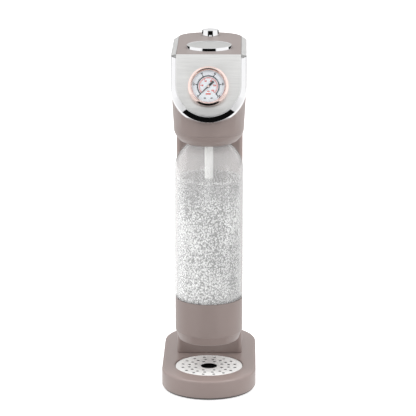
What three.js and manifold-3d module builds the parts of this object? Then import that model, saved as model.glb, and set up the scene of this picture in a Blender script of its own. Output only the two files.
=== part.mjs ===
// Soda carbonator: a slim free-standing machine with a round-ended base, a column that hides the gas
// cylinder, and an overhanging head that holds the bottle. Millimetres; X right, Y back, Z up; the
// origin is on the floor under the middle of the base. The pieces are laid out about a datum line
// through the column, and one group then moves them all so that the base is centred.
import * as THREE from 'three';
import { mergeVertices } from 'three/addons/utils/BufferGeometryUtils.js';
import Module from 'manifold-3d';

const wasm = await Module();
wasm.setup();

// ---------------------------------------------------------------- driving dimensions
const GAP = 0.3;
const WALL = 2.5;
const FAR = 300;

const BOTTLE_Y = -45;
const CYLINDER_Y = 52;
const BUTTON_Y = -22;
const KNOB_Y = 69;

const FOOT = { radius: 9, height: 1.9, x: 38, y: 77 };
const PLINTH = { radius: 59.2, bottom: 1.0, top: 3.1 };
const BASE = {
  radius: 61.1, frontCentre: -52, backCentre: 66, bottom: 3.4, top: 26.5, pocket: 44.1, pocketFloor: 12.5,
};
const BASE_MIDDLE = (BASE.frontCentre + BASE.backCentre) / 2;
const SCREW = { headRadius: 3.5, shankRadius: 1.5, headBottom: 0.9, top: 15, boss: 4.2, x: 24, y: 103 };
const TRAY = { radius: 43.7, bottom: 12.8, rim: 23.1 };
const GRILLE = { radius: 43.7, bottom: 23.4, top: 25, drain: 10.5, hole: 1.5 };
const GRILLE_SKIRT = { outer: 41.4, inner: 40, bottom: 20 };
const GRILLE_RINGS = [
  { radius: 34.5, count: 16 },
  { radius: 25.9, count: 16 },
  { radius: 18.3, count: 8 },
];

const COLUMN = { half: 43, front: 3, split: 50, rear: 62, depth: 34, corner: 6, bottom: 26.8, top: 340.2 };
const CHASSIS = { half: 35, front: 8, back: 11, footBack: 18, shelfHalf: 24, shelfBack: 88 };
const HEAD = { bottom: 340.5, flare: 380.5, rim: 438.8, lowHalf: 44.5, half: 46.8, rear: 62, depth: 36 };
const TOP = { z: 443.5, half: 40.7, bottom: 439.1, cornerZ: 439.4, cornerHalf: 47.8 };

const PLATE_TILT = THREE.MathUtils.degToRad(24);
const PLATE = { half: 40.7, straight: 38.2, thickness: 1.6 };
const PLATE_CENTRE = new THREE.Vector3(0, -88.3, TOP.z - PLATE.straight * Math.cos(PLATE_TILT));
const HOOD = { front: -1.9, frontHalf: 41.5, half: 48, land: -15.6, back: -17, wall: 2.7 };
const HOOD_BREAK = { depth: -9, half: 47 };
const GAUGE = { up: -3.6, bezel: 25.35, window: 20.3, proud: 9, can: 21.6, canBack: -22, rim: 22.5 };

const BOTTLE = {
  half: 44, lowHalf: 41.7, bottom: 68.3, neck: 19, bore: 15.6, thread: 343, top: 354.5, wall: 2,
};
const CUP = { half: 43.6, bottom: 64.3, top: 120.8, floor: 3.6 };
// The bottle's outside radius and height at its dome, from the straight wall up to the neck.
const DOME = [
  [44, 292.5], [42.8, 301], [39.2, 309.5], [33.4, 317.3], [26.6, 323.9], [21.4, 331], [19.4, 337],
];
const NOZZLE = { radius: 5.5, tip: 4, shoulder: 268.5, bottom: 255.5, flange: 10.2, seat: 357.8 };
const BLOCK = { radius: 30, bore: 23.8, bottom: 340.5, top: 370.5 };
const LOCK_RING = { inner: 21, outer: 23.4, bottom: 341.5, top: 351.5 };
const GASKET = { inner: 7, outer: 22.5, bottom: 354.9, top: 357.5 };
const BOWL_BORE = { neck: 24, shoulder: 27.2, bottom: 314.5, shoulderTop: 332.5 };
const BUTTON = { radius: 29.2, top: 447.1, skirt: 433.5, well: 30.4, wellFloor: 416.3, springFoot: 419.1 };
const KNOB = { radius: 11.4, top: 451.3, skirt: 433.5, stemBottom: 420.5, springFoot: 424.9 };
const VENT = { radius: 14.4, bore: 3.4, well: 12, bottom: 417.5, floor: 424.5 };
const CYLINDER = { radius: 30, bottom: 31.5, shoulder: 332.5, neck: 14, top: 360.5 };
const SHELF = { bottom: 367.1, top: 370.1 };
const VALVE = { spigot: 9, spigotTop: 382.5, bore: 2.4, boreBottom: 372.5, block: 18, blockTop: 400.5 };
const PLUNGER = { radius: 2, bottom: 376.5, head: 5, headBottom: 402.5 };
const LEVER = { half: 8, bottom: 405.7, top: 410.7, front: -30, pivotY: 80, pivotZ: 411.5, pin: 2.5 };

// Hose routes, from the fitting each starts at to the one it ends in.
const GAS_ROUTE = [
  [18.6, 52, 390.5], [23, 52, 390.5], [32, 40, 390.5], [33, 10, 389.5], [26, -20, 384.5], [16, -42, 380.5],
  [14, -45, 375.5], [14, -45, 370.9],
];
const GAUGE_ROUTE = [
  [0, -53.2, 389.4], [0, -50, 387.5], [0, -47, 381.5], [0, -46.6, 375.5], [0, -46.6, 370.9],
];
const VENT_ROUTE = [
  [-5, -31, 370.9], [-5, -31, 374.5], [-12, -26, 384.5], [-26, -8, 398.5], [-31, 26, 410.5],
  [-28, 60, 423.5], [-20, 69, 426.5], [-14.8, 69, 426.5],
];

// ---------------------------------------------------------------- materials
function material(colour, roughness, metalness) {
  return new THREE.MeshStandardMaterial({ color: colour, roughness, metalness });
}

const taupe = material(0x9f918e, 0.45, 0);
const darkPlastic = material(0x35312f, 0.6, 0);
const whitePlastic = material(0xf2f2ee, 0.4, 0);
const rubber = material(0x202020, 0.9, 0);
const brushedSteel = material(0xcfcfcd, 0.35, 1);
const chrome = material(0xeeeeee, 0.08, 1);
const copperChrome = material(0xe3b5a6, 0.15, 1);
const brass = material(0xc9a45a, 0.3, 1);
const castMetal = material(0xb9bbbd, 0.45, 1);
const springSteel = material(0x9a9c9e, 0.35, 1);
const clearPlastic = new THREE.MeshStandardMaterial({
  color: 0xf4f8f8, roughness: 0.05, metalness: 0, transparent: true, opacity: 0.3,
});

// ---------------------------------------------------------------- solids
function triangleIndices(geometry) {
  const index = geometry.index.array;
  const kept = [];
  for (let i = 0; i < index.length; i += 3) {
    const [a, b, c] = [index[i], index[i + 1], index[i + 2]];
    if (a !== b && b !== c && c !== a) kept.push(a, b, c);
  }
  return kept;
}

function signedVolume(position, index) {
  const corners = [new THREE.Vector3(), new THREE.Vector3(), new THREE.Vector3()];
  let volume = 0;
  for (let i = 0; i < index.length; i += 3) {
    corners.forEach((corner, k) => corner.fromBufferAttribute(position, index[i + k]));
    volume += corners[0].dot(corners[1].clone().cross(corners[2])) / 6;
  }
  return volume;
}

// Turns a closed geometry into a manifold solid, whichever way its faces were wound.
function solidOf(geometry) {
  geometry.deleteAttribute('normal');
  geometry.deleteAttribute('uv');
  const merged = mergeVertices(geometry, 1e-4);
  const index = triangleIndices(merged);
  if (signedVolume(merged.attributes.position, index) < 0) index.reverse();
  const mesh = new wasm.Mesh({
    numProp: 3,
    vertProperties: new Float32Array(merged.attributes.position.array),
    triVerts: new Uint32Array(index),
  });
  return new wasm.Manifold(mesh);
}

function geometryOf(solid) {
  const mesh = solid.getMesh();
  const geometry = new THREE.BufferGeometry();
  geometry.setAttribute('position', new THREE.BufferAttribute(new Float32Array(mesh.vertProperties), 3));
  geometry.setIndex(new THREE.BufferAttribute(new Uint32Array(mesh.triVerts), 1));
  geometry.computeVertexNormals();
  return geometry;
}

function join(first, ...others) {
  return others.reduce((solid, other) => solid.add(other), first);
}

function cut(first, ...others) {
  return others.reduce((solid, other) => solid.subtract(other), first);
}

function block(x0, x1, y0, y1, z0, z1) {
  const geometry = new THREE.BoxGeometry(x1 - x0, y1 - y0, z1 - z0);
  geometry.translate((x0 + x1) / 2, (y0 + y1) / 2, (z0 + z1) / 2);
  return solidOf(geometry);
}

// A profile of [radius, height] pairs turned about the vertical line at x, y. It starts and ends on the
// axis, or closes on itself.
function turned(profile, x = 0, y = 0, segments = 20) {
  const onAxis = profile[0][0] === 0;
  const loop = onAxis ? profile : [...profile, profile[0]];
  const geometry = new THREE.LatheGeometry(loop.map(([r, z]) => new THREE.Vector2(r, z)), segments);
  geometry.rotateX(Math.PI / 2);
  geometry.translate(x, y, 0);
  return solidOf(geometry);
}

function disc(radius, z0, z1, x = 0, y = 0, segments = 20) {
  return turned([[0, z0], [radius, z0], [radius, z1], [0, z1]], x, y, segments);
}

function ring(inner, outer, z0, z1, x = 0, y = 0, segments = 20) {
  return turned([[inner, z0], [outer, z0], [outer, z1], [inner, z1]], x, y, segments);
}

// Joins outlines of equal point count, each at its own height, into one closed body.
function loft(sections) {
  const count = sections[0].outline.length;
  const positions = sections.flatMap(({ z, outline }) => outline.flatMap((p) => [p.x, p.y, z]));
  const index = [];
  for (let s = 0; s + 1 < sections.length; s += 1) {
    for (let i = 0; i < count; i += 1) {
      const j = (i + 1) % count;
      const low = s * count;
      const high = low + count;
      index.push(low + i, low + j, high + j, low + i, high + j, high + i);
    }
  }
  const cap = THREE.ShapeUtils.triangulateShape(sections[0].outline, []);
  const last = (sections.length - 1) * count;
  for (const [a, b, c] of cap) {
    index.push(c, b, a, last + a, last + b, last + c);
  }
  const geometry = new THREE.BufferGeometry();
  geometry.setAttribute('position', new THREE.Float32BufferAttribute(positions, 3));
  geometry.setIndex(index);
  return solidOf(geometry);
}

function prism(outline, z0, z1) {
  return loft([{ z: z0, outline }, { z: z1, outline }]);
}

function tube(points, radius, steps, sides = 6) {
  const section = new THREE.Shape();
  section.absarc(0, 0, radius, 0, 2 * Math.PI);
  const path = new THREE.CatmullRomCurve3(points.map((p) => new THREE.Vector3(...p)));
  const geometry = new THREE.ExtrudeGeometry(section, {
    extrudePath: path, steps, curveSegments: sides / 2, bevelEnabled: false,
  });
  return solidOf(geometry);
}

function coil(radius, wire, z0, z1, turns, x, y) {
  const stepsPerTurn = 8;
  const steps = turns * stepsPerTurn;
  const points = Array.from({ length: steps + 1 }, (_, i) => {
    const angle = (2 * Math.PI * i) / stepsPerTurn;
    const z = z0 + wire + ((z1 - z0 - 2 * wire) * i) / steps;
    return [x + radius * Math.cos(angle), y + radius * Math.sin(angle), z];
  });
  return tube(points, wire, steps, 4);
}

function mirroredX(solid) {
  return solid.mirror([1, 0, 0]);
}

// ---------------------------------------------------------------- outlines, seen from above
function arc(cx, cy, rx, ry, from, to, segments) {
  return Array.from({ length: segments + 1 }, (_, i) => {
    const angle = from + ((to - from) * i) / segments;
    return new THREE.Vector2(cx + rx * Math.cos(angle), cy + ry * Math.sin(angle));
  });
}

function stadiumOutline(radius) {
  const front = arc(0, BASE.frontCentre, radius, radius, Math.PI, 2 * Math.PI, 14);
  const back = arc(0, BASE.backCentre, radius, radius, 0, Math.PI, 14);
  return [...front, ...back];
}

function headOutline(half, inset = 0) {
  const front = arc(0, BOTTLE_Y, half, half, Math.PI, 2 * Math.PI, 16);
  const back = arc(0, HEAD.rear, half, HEAD.depth - inset, 0, Math.PI, 12);
  return [...front, ...back];
}

function columnOutline(inset, back) {
  const half = COLUMN.half - inset;
  const corner = COLUMN.corner - inset;
  const y = COLUMN.front + COLUMN.corner;
  const left = arc(-half + corner, y, corner, corner, Math.PI, 1.5 * Math.PI, 5);
  const right = arc(half - corner, y, corner, corner, 1.5 * Math.PI, 2 * Math.PI, 5);
  return [...left, ...right, new THREE.Vector2(half, back), new THREE.Vector2(-half, back)];
}

function coverOutline(inset) {
  const half = COLUMN.half - inset;
  const front = inset > 0 ? COLUMN.split - WALL : COLUMN.split + GAP;
  const back = arc(0, COLUMN.rear, half, COLUMN.depth - inset, 0, Math.PI, 12);
  return [new THREE.Vector2(-half, front), new THREE.Vector2(half, front), ...back];
}

// U outline in the tilted front plane, open end upwards: straight sides, half circle below.
function hoodOutline(half) {
  const top = 70;
  const bottom = arc(0, 0, half, half, Math.PI, 2 * Math.PI, 16);
  return [...bottom, new THREE.Vector2(half, top), new THREE.Vector2(-half, top)];
}

// ---------------------------------------------------------------- the tilted front plane
// Local X is X, local Y runs up the plate, local Z points out of it; its origin is the middle of the
// plate's half circle.
const plateFrame = new THREE.Matrix4().makeBasis(
  new THREE.Vector3(1, 0, 0),
  new THREE.Vector3(0, Math.sin(PLATE_TILT), Math.cos(PLATE_TILT)),
  new THREE.Vector3(0, -Math.cos(PLATE_TILT), Math.sin(PLATE_TILT)),
).setPosition(PLATE_CENTRE);

function onPlate(solid) {
  return solid.transform(plateFrame.elements);
}

function onGauge(solid) {
  return onPlate(solid.translate([0, GAUGE.up, 0]));
}

// Everything in front of the plane that lies at the given depth, as one big block.
function aheadOfPlane(depth) {
  return onPlate(block(-FAR, FAR, -FAR, FAR, depth, FAR));
}

// ---------------------------------------------------------------- base
function fourPlaces({ x, y }) {
  return [[-1, -1], [1, -1], [-1, 1], [1, 1]].map(([sx, sy]) => [sx * x, BASE_MIDDLE + sy * y]);
}

function baseShell() {
  const outer = loft([
    { z: BASE.bottom, outline: stadiumOutline(BASE.radius - 0.5) },
    { z: BASE.bottom + 0.8, outline: stadiumOutline(BASE.radius) },
    { z: BASE.top - 2.6, outline: stadiumOutline(BASE.radius) },
    { z: BASE.top - 0.8, outline: stadiumOutline(BASE.radius - 0.7) },
    { z: BASE.top, outline: stadiumOutline(BASE.radius - 2.2) },
  ]);
  const pocketWall = disc(BASE.pocket + WALL, BASE.pocketFloor - 2, BASE.top, 0, BOTTLE_Y, 28);
  const bosses = fourPlaces(SCREW).map(([x, y]) => disc(SCREW.boss, BASE.bottom + 1, BASE.top, x, y, 8));
  const hollow = cut(prism(stadiumOutline(BASE.radius - WALL), 0, BASE.top - 3), pocketWall, ...bosses);
  const pocket = disc(BASE.pocket, BASE.pocketFloor, FAR, 0, BOTTLE_Y, 28);
  const shank = SCREW.shankRadius + GAP;
  const holes = fourPlaces(SCREW).map(([x, y]) => disc(shank, 0, SCREW.top + 1, x, y, 8));
  return cut(outer, hollow, pocket, ...holes);
}

function basePlate() {
  const plate = prism(stadiumOutline(PLINTH.radius), PLINTH.bottom, PLINTH.top);
  const sunk = PLINTH.bottom + 1.2;
  const footPockets = fourPlaces(FOOT).map(([x, y]) => disc(FOOT.radius + GAP, 0, sunk, x, y, 14));
  const headPockets = fourPlaces(SCREW).map(([x, y]) => disc(SCREW.headRadius + GAP, 0, sunk, x, y, 8));
  const holes = fourPlaces(SCREW).map(([x, y]) => disc(SCREW.shankRadius + GAP, 0, FAR, x, y, 8));
  return cut(plate, ...footPockets, ...headPockets, ...holes);
}

function foot(x, y) {
  return disc(FOOT.radius, 0, FOOT.height, x, y, 14);
}

function baseScrew(x, y) {
  const { headRadius, shankRadius, headBottom, top } = SCREW;
  const head = disc(headRadius, headBottom, headBottom + 1, x, y, 8);
  return join(head, disc(shankRadius, headBottom + 0.6, top, x, y, 8));
}

function dripTray() {
  const floor = TRAY.bottom + 1.5;
  const inner = TRAY.radius - 1.7;
  const profile = [
    [0, TRAY.bottom], [TRAY.radius - 1, TRAY.bottom], [TRAY.radius, TRAY.bottom + 1],
    [TRAY.radius, TRAY.rim], [inner, TRAY.rim], [inner, floor], [0, floor],
  ];
  return turned(profile, 0, BOTTLE_Y, 28);
}

function dripGrille() {
  const skirt = GRILLE_SKIRT;
  const profile = [
    [GRILLE.drain, GRILLE.bottom], [skirt.inner, GRILLE.bottom], [skirt.inner, skirt.bottom],
    [skirt.outer, skirt.bottom], [skirt.outer, GRILLE.bottom], [GRILLE.radius, GRILLE.bottom],
    [GRILLE.radius, GRILLE.top - 0.5], [GRILLE.radius - 0.5, GRILLE.top], [GRILLE.drain, GRILLE.top],
  ];
  const holes = GRILLE_RINGS.flatMap(({ radius, count }) => Array.from({ length: count }, (_, i) => {
    const angle = (2 * Math.PI * (i + 0.5)) / count;
    return disc(GRILLE.hole, 0, FAR, radius * Math.cos(angle), BOTTLE_Y + radius * Math.sin(angle), 5);
  }));
  return cut(turned(profile, 0, BOTTLE_Y, 28), ...holes);
}

// ---------------------------------------------------------------- column and cylinder
function columnShell() {
  const outer = prism(columnOutline(0, COLUMN.split), COLUMN.bottom, COLUMN.top);
  return cut(outer, prism(columnOutline(WALL, FAR), 0, FAR * 2));
}

function rearCover() {
  return cut(prism(coverOutline(0), COLUMN.bottom, COLUMN.top), prism(coverOutline(WALL), 0, FAR * 2));
}

function chassis() {
  const { half, front, back, footBack, shelfHalf, shelfBack } = CHASSIS;
  const sheet = back - front;
  const plate = block(-half, half, front, back, COLUMN.bottom, SHELF.top);
  const foot = block(-half, half, back - 1, footBack, COLUMN.bottom, COLUMN.bottom + sheet);
  const shelf = block(-shelfHalf, shelfHalf, back - 1, shelfBack, SHELF.bottom, SHELF.top);
  const gussets = [-shelfHalf, shelfHalf - sheet].map(
    (x) => block(x, x + sheet, back - 1, footBack, COLUMN.bottom + 37, SHELF.bottom + 1),
  );
  const window = block(-20, 20, 0, 30, 94, 262);
  const valveHole = disc(VALVE.spigot + 0.6, 0, FAR * 2, 0, CYLINDER_Y, 20);
  return cut(join(plate, foot, shelf, ...gussets), window, valveHole);
}

function cylinderCradle() {
  const outer = CYLINDER.radius + 3.2;
  const inner = CYLINDER.radius + 0.7;
  const floor = CYLINDER.bottom - 0.5;
  const profile = [
    [0, COLUMN.bottom], [outer, COLUMN.bottom], [outer, COLUMN.bottom + 20],
    [inner, COLUMN.bottom + 20], [inner, floor], [0, floor],
  ];
  return turned(profile, 0, CYLINDER_Y, 28);
}

function co2Cylinder() {
  const { radius, bottom, shoulder, neck, top } = CYLINDER;
  const wall = 5;
  const bore = 5.8;
  const profile = [
    [0, bottom], [radius - 4, bottom], [radius, bottom + 4], [radius, shoulder], [radius - 3, shoulder + 10],
    [radius - 10, shoulder + 17], [neck, shoulder + 20], [neck, top], [bore, top], [bore, top - 9],
    [17, shoulder + 12], [22.5, shoulder + 7], [radius - wall, shoulder - 1], [radius - wall, bottom + 8],
    [radius - wall - 4, bottom + wall], [0, bottom + wall],
  ];
  return turned(profile, 0, CYLINDER_Y, 20);
}

function cylinderValve() {
  const stem = disc(5.5, CYLINDER.top - 8, CYLINDER.top + 2, 0, CYLINDER_Y, 16);
  const hex = disc(11, CYLINDER.top + GAP, SHELF.bottom - GAP, 0, CYLINDER_Y, 6);
  const spigot = disc(VALVE.spigot, SHELF.bottom - 1, VALVE.spigotTop, 0, CYLINDER_Y, 20);
  return cut(join(stem, hex, spigot), disc(VALVE.bore, VALVE.boreBottom, FAR * 2, 0, CYLINDER_Y, 12));
}

function valveBlock() {
  const body = disc(VALVE.block, SHELF.top + GAP, VALVE.blockTop, 0, CYLINDER_Y, 28);
  const spigotBore = disc(VALVE.spigot + 0.4, 0, VALVE.spigotTop + 1, 0, CYLINDER_Y, 20);
  return cut(body, spigotBore, disc(VALVE.bore, 0, FAR * 2, 0, CYLINDER_Y, 12));
}

function valvePlunger() {
  const { radius, bottom, head, headBottom } = PLUNGER;
  const rod = disc(radius, bottom, headBottom + 1, 0, CYLINDER_Y, 12);
  return join(rod, disc(head, headBottom, LEVER.bottom - 0.5, 0, CYLINDER_Y, 16));
}

// ---------------------------------------------------------------- press lever
function acrossX(solid) {
  return solid.rotate([0, 90, 0]).translate([0, LEVER.pivotY, LEVER.pivotZ]);
}

function pressLever() {
  const arm = block(-LEVER.half, LEVER.half, LEVER.front, LEVER.pivotY, LEVER.bottom, LEVER.top);
  const barrel = acrossX(disc(5.4, -10.4, 10.4, 0, 0, 20));
  return cut(join(arm, barrel), acrossX(disc(LEVER.pin + GAP, -FAR, FAR, 0, 0, 16)));
}

function leverPin() {
  return acrossX(disc(LEVER.pin, -14.6, 14.6, 0, 0, 16));
}

function leverBracket() {
  const z = SHELF.top + GAP;
  const base = block(-14, 14, 73, 87, z, z + 3);
  const ears = [-14, 11].map((x) => block(x, x + 3, 74, 86, z + 1, LEVER.pivotZ + 5.6));
  return cut(join(base, ...ears), acrossX(disc(LEVER.pin + GAP, -FAR, FAR, 0, 0, 16)));
}

// ---------------------------------------------------------------- head
// The head's body, shrunk by inset: an upright round-fronted prism joined with the U-shaped tunnel that
// runs back from the hood.
function headBody(inset, bottom, top, tunnelFront) {
  const low = HEAD.lowHalf - inset;
  const high = HEAD.half - inset;
  const upright = loft([
    { z: bottom, outline: headOutline(low, inset) },
    { z: HEAD.bottom + 0.01, outline: headOutline(low, inset) },
    { z: HEAD.flare, outline: headOutline(high, inset) },
    { z: top, outline: headOutline(high, inset) },
  ]);
  const tunnel = onPlate(prism(hoodOutline(high), -70, tunnelFront));
  const band = block(-FAR, FAR, -FAR, 30, HEAD.bottom + 14, top);
  return upright.add(tunnel.intersect(band));
}

function headShell() {
  const outer = headBody(0, HEAD.bottom, HEAD.rim, -1);
  const inner = headBody(WALL, HEAD.bottom - 5, HEAD.rim + 5, 5);
  return cut(outer, aheadOfPlane(HOOD.back - GAP), inner);
}

function chromeHood() {
  const outer = loft([
    { z: HOOD.back, outline: hoodOutline(HOOD.half) },
    { z: HOOD.land, outline: hoodOutline(HOOD.half) },
    { z: HOOD_BREAK.depth, outline: hoodOutline(HOOD_BREAK.half) },
    { z: HOOD.front, outline: hoodOutline(HOOD.frontHalf) },
  ]);
  const slope = (HOOD.half - HOOD.frontHalf) / (HOOD.front - HOOD.land);
  const inner = loft([
    { z: HOOD.back - 5, outline: hoodOutline(HOOD.half - HOOD.wall) },
    { z: HOOD.land, outline: hoodOutline(HOOD.half - HOOD.wall) },
    { z: HOOD.front + 5, outline: hoodOutline(HOOD.frontHalf - HOOD.wall - 5 * slope) },
  ]);
  const above = block(-FAR, FAR, -FAR, FAR, HEAD.rim, FAR * 2);
  return cut(onPlate(outer.subtract(inner)), above);
}

// Everything in front of the head's bevelled nose, which trims the pieces on top of the head.
function aheadOfBevel() {
  const bevel = loft([
    { z: HOOD.back - 1, outline: hoodOutline(HOOD.half) },
    { z: HOOD.land, outline: hoodOutline(HOOD.half) },
    { z: 0, outline: hoodOutline(PLATE.half) },
  ]);
  return aheadOfPlane(HOOD.back).subtract(onPlate(bevel));
}

function frontPlate() {
  const plate = onPlate(prism(hoodOutline(PLATE.half), -PLATE.thickness, 0));
  const above = block(-FAR, FAR, -FAR, FAR, TOP.z - 0.1, FAR * 2);
  return cut(plate, above, onGauge(disc(GAUGE.can + GAP, -FAR, FAR, 0, 0, 24)));
}

function topPlate() {
  const frustum = loft([
    { z: TOP.bottom, outline: headOutline(HEAD.half) },
    { z: TOP.z, outline: headOutline(TOP.half, 3) },
  ]);
  const sides = [-1, 1].map((side) => {
    const x = side * (TOP.half + FAR / 2);
    return block(x - FAR / 2, x + FAR / 2, -FAR, HEAD.rear + GAP, 0, FAR * 2);
  });
  const buttonHole = disc(BUTTON.radius + GAP, 0, FAR * 2, 0, BUTTON_Y, 24);
  const knobHole = disc(KNOB.radius + 0.4, 0, FAR * 2, 0, KNOB_Y, 24);
  const front = block(-FAR, FAR, -FAR, -60, 0, FAR * 2);
  const nose = block(-TOP.half, TOP.half, -FAR, -40, TOP.bottom, TOP.z);
  const slab = join(cut(frustum, front), nose);
  return cut(slab, aheadOfPlane(HOOD.front), ...sides, buttonHole, knobHole);
}

function shoulderRight() {
  const inner = TOP.half + GAP;
  const section = [
    new THREE.Vector2(inner, TOP.bottom), new THREE.Vector2(TOP.cornerHalf, TOP.bottom),
    new THREE.Vector2(TOP.cornerHalf, TOP.cornerZ), new THREE.Vector2(inner, TOP.z),
  ];
  const bar = prism(section, -HEAD.rear, FAR).rotate([90, 0, 0]);
  return bar.subtract(aheadOfBevel());
}

function headBowl() {
  const floor = HEAD.bottom - GAP;
  const funnel = turned([
    [27.2, 326], [28.4, 325.8], [33, 328.7], [39.3, 333.9], [42.6, 336.9], [44.2, 339.5],
    [44.2, floor], [40, floor], [38.3, 336.1], [32, 331.3], [27.2, 328.1],
  ], 0, BOTTLE_Y, 28);
  const lid = cut(
    prism(headOutline(HEAD.lowHalf - 0.3), floor - 2.3, floor),
    block(-FAR, FAR, COLUMN.front - GAP, FAR, 0, FAR * 2),
    cut(block(-FAR, FAR, -FAR, BOTTLE_Y, 0, FAR * 2), disc(42, 0, FAR * 2, 0, BOTTLE_Y, 28)),
  );
  const neckBore = disc(BOWL_BORE.neck, BOWL_BORE.bottom, FAR * 2, 0, BOTTLE_Y, 28);
  return cut(join(funnel, lid), neckBore, shoulderClearance());
}

// Room for the bottle's shoulder where it enters the bowl.
function shoulderClearance() {
  return disc(BOWL_BORE.shoulder, BOWL_BORE.bottom, BOWL_BORE.shoulderTop, 0, BOTTLE_Y, 28);
}

// ---------------------------------------------------------------- carbonation parts over the bottle
function carbonationBlock() {
  const { radius, bore, bottom, top } = BLOCK;
  const { flange, seat } = NOZZLE;
  const profile = [
    [bore, bottom], [radius + 4, bottom], [radius + 4, bottom + 3], [radius, bottom + 3], [radius, top - 2],
    [radius - 2, top], [1.6, top], [1.6, seat + 3.3], [flange + 0.4, seat + 3.3],
    [flange + 0.4, seat], [bore, seat],
  ];
  return turned(profile, 0, BOTTLE_Y, 28);
}

function lockRing() {
  return ring(LOCK_RING.inner, LOCK_RING.outer, LOCK_RING.bottom, LOCK_RING.top, 0, BOTTLE_Y, 28);
}

function neckGasket() {
  return ring(GASKET.inner, GASKET.outer, GASKET.bottom, GASKET.top, 0, BOTTLE_Y, 28);
}

function nozzleTube() {
  const { radius, shoulder, flange, seat } = NOZZLE;
  const socket = NOZZLE.tip + GAP;
  const profile = [
    [socket, shoulder], [radius - 0.6, shoulder], [radius, shoulder + 1], [radius, seat],
    [flange, seat], [flange, seat + 3], [1.5, seat + 3], [1.5, shoulder + 7.5], [socket, shoulder + 7.5],
  ];
  return turned(profile, 0, BOTTLE_Y, 20);
}

function nozzleTip() {
  const { tip, bottom, shoulder } = NOZZLE;
  const profile = [
    [1, bottom], [tip - 0.8, bottom], [tip, bottom + 1.5], [tip, shoulder + 7], [1, shoulder + 7],
  ];
  return turned(profile, 0, BOTTLE_Y, 16);
}

function safetyValve() {
  const hex = disc(6, BLOCK.top + GAP, BLOCK.top + 6, -16, BOTTLE_Y, 6);
  return join(hex, disc(4.2, BLOCK.top + 5, BLOCK.top + 17, -16, BOTTLE_Y, 16));
}

function gasHose() {
  return tube(GAS_ROUTE, 2.5, 26);
}

function gaugeHose() {
  return tube(GAUGE_ROUTE, 2.4, 12);
}

function ventHose() {
  return tube(VENT_ROUTE, 2.2, 26);
}

// ---------------------------------------------------------------- push button and release knob
function buttonCap() {
  const { radius, top, skirt } = BUTTON;
  const profile = [
    [0, top - 4], [radius - 2.2, top - 4], [radius - 2.2, skirt], [radius, skirt], [radius, top - 0.6],
    [radius - 0.4, top - 0.1], [radius - 0.7, top - 0.1], [radius - 0.7, top - 1.4], [0, top - 1.4],
  ];
  return turned(profile, 0, BUTTON_Y, 24);
}

function buttonFace() {
  return disc(BUTTON.radius - 1, BUTTON.top - 1.1, BUTTON.top, 0, BUTTON_Y, 24);
}

function buttonStem() {
  const top = BUTTON.top - 4 - GAP;
  return join(
    disc(4, LEVER.top + GAP, top, 0, BUTTON_Y, 16),
    disc(8.6, top - 2, top, 0, BUTTON_Y, 20),
  );
}

function buttonSpring() {
  return coil(7, 0.8, BUTTON.springFoot, BUTTON.top - 6.6, 4, 0, BUTTON_Y);
}

function buttonGuide() {
  const outer = BUTTON.well + 2;
  const { well, wellFloor } = BUTTON;
  const profile = [
    [4.4, wellFloor], [outer, wellFloor], [outer, HEAD.rim], [well, HEAD.rim], [well, wellFloor + 2.4],
    [4.4, wellFloor + 2.4],
  ];
  return turned(profile, 0, BUTTON_Y, 24);
}

function releaseKnob() {
  const { radius, top, skirt } = KNOB;
  const profile = [
    [0, top - 4], [radius - 1.8, top - 4], [radius - 1.8, skirt], [radius, skirt], [radius, top - 1],
    [radius - 1, top], [0, top],
  ];
  return turned(profile, 0, KNOB_Y, 24);
}

function knobStem() {
  return disc(3, KNOB.stemBottom, KNOB.top - 4 - GAP, 0, KNOB_Y, 14);
}

function knobSpring() {
  return coil(6, 0.6, KNOB.springFoot, KNOB.top - 4.4, 4, 0, KNOB_Y);
}

function ventValve() {
  const { radius, bore, well, bottom, floor } = VENT;
  const profile = [
    [bore, bottom], [radius, bottom], [radius, HEAD.rim], [well, HEAD.rim], [well, floor], [bore, floor],
  ];
  return turned(profile, 0, KNOB_Y, 24);
}

// ---------------------------------------------------------------- pressure gauge, in its own frame
function gaugeBezel() {
  const { bezel, window, proud } = GAUGE;
  const profile = [
    [22.9, GAP], [bezel, GAP], [bezel, proud - 2.2], [bezel - 0.8, proud - 0.7], [bezel - 2.2, proud],
    [window + 1.2, proud], [window, proud - 0.9], [window, proud - 1.4], [22.9, proud - 1.4],
  ];
  return onGauge(turned(profile, 0, 0, 24));
}

function gaugeCase() {
  const { can, canBack, rim } = GAUGE;
  const profile = [
    [0, canBack], [can, canBack], [can, 0.4], [rim, 0.4], [rim, 2.9], [can - 2, 2.9],
    [can - 2, canBack + 2], [0, canBack + 2],
  ];
  return onGauge(turned(profile, 0, 0, 24));
}

function gaugeDial() {
  return onGauge(ring(1.2, GAUGE.rim, 3.2, 4, 0, 0, 24));
}

function gaugeLens() {
  return onGauge(disc(GAUGE.rim, 6.2, 7.3, 0, 0, 24));
}

function gaugeStem() {
  const hex = disc(7.5, GAUGE.canBack - 8, GAUGE.canBack - GAP, 0, 0, 6);
  return onGauge(join(hex, disc(4.5, GAUGE.canBack - 15, GAUGE.canBack - 7, 0, 0, 16)));
}

function bourdonTube() {
  const points = arc(0, 0, 13, 13, Math.PI * 0.25, Math.PI * 1.75, 12).map((p) => [p.x, p.y, -10]);
  return onGauge(tube(points, 2, 20));
}

// The needle at rest points to the scale's lower left end; its broad tail points the other way.
function pointer() {
  const outline = [[-12.6, -0.25], [0, -0.75], [2, -0.75], [3.2, -1.35], [9.2, -1.35], [9.2, 1.35],
    [3.2, 1.35], [2, 0.75], [0, 0.75], [-12.6, 0.25]].map(([x, y]) => new THREE.Vector2(x, y));
  const boss = disc(1.6, 4.5, 4.9, 0, 0, 16);
  const flat = join(prism(outline, 4.5, 4.9), boss).subtract(disc(1, 0, 10, 0, 0, 12));
  return onGauge(flat.rotate([0, 0, 45]));
}

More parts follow.
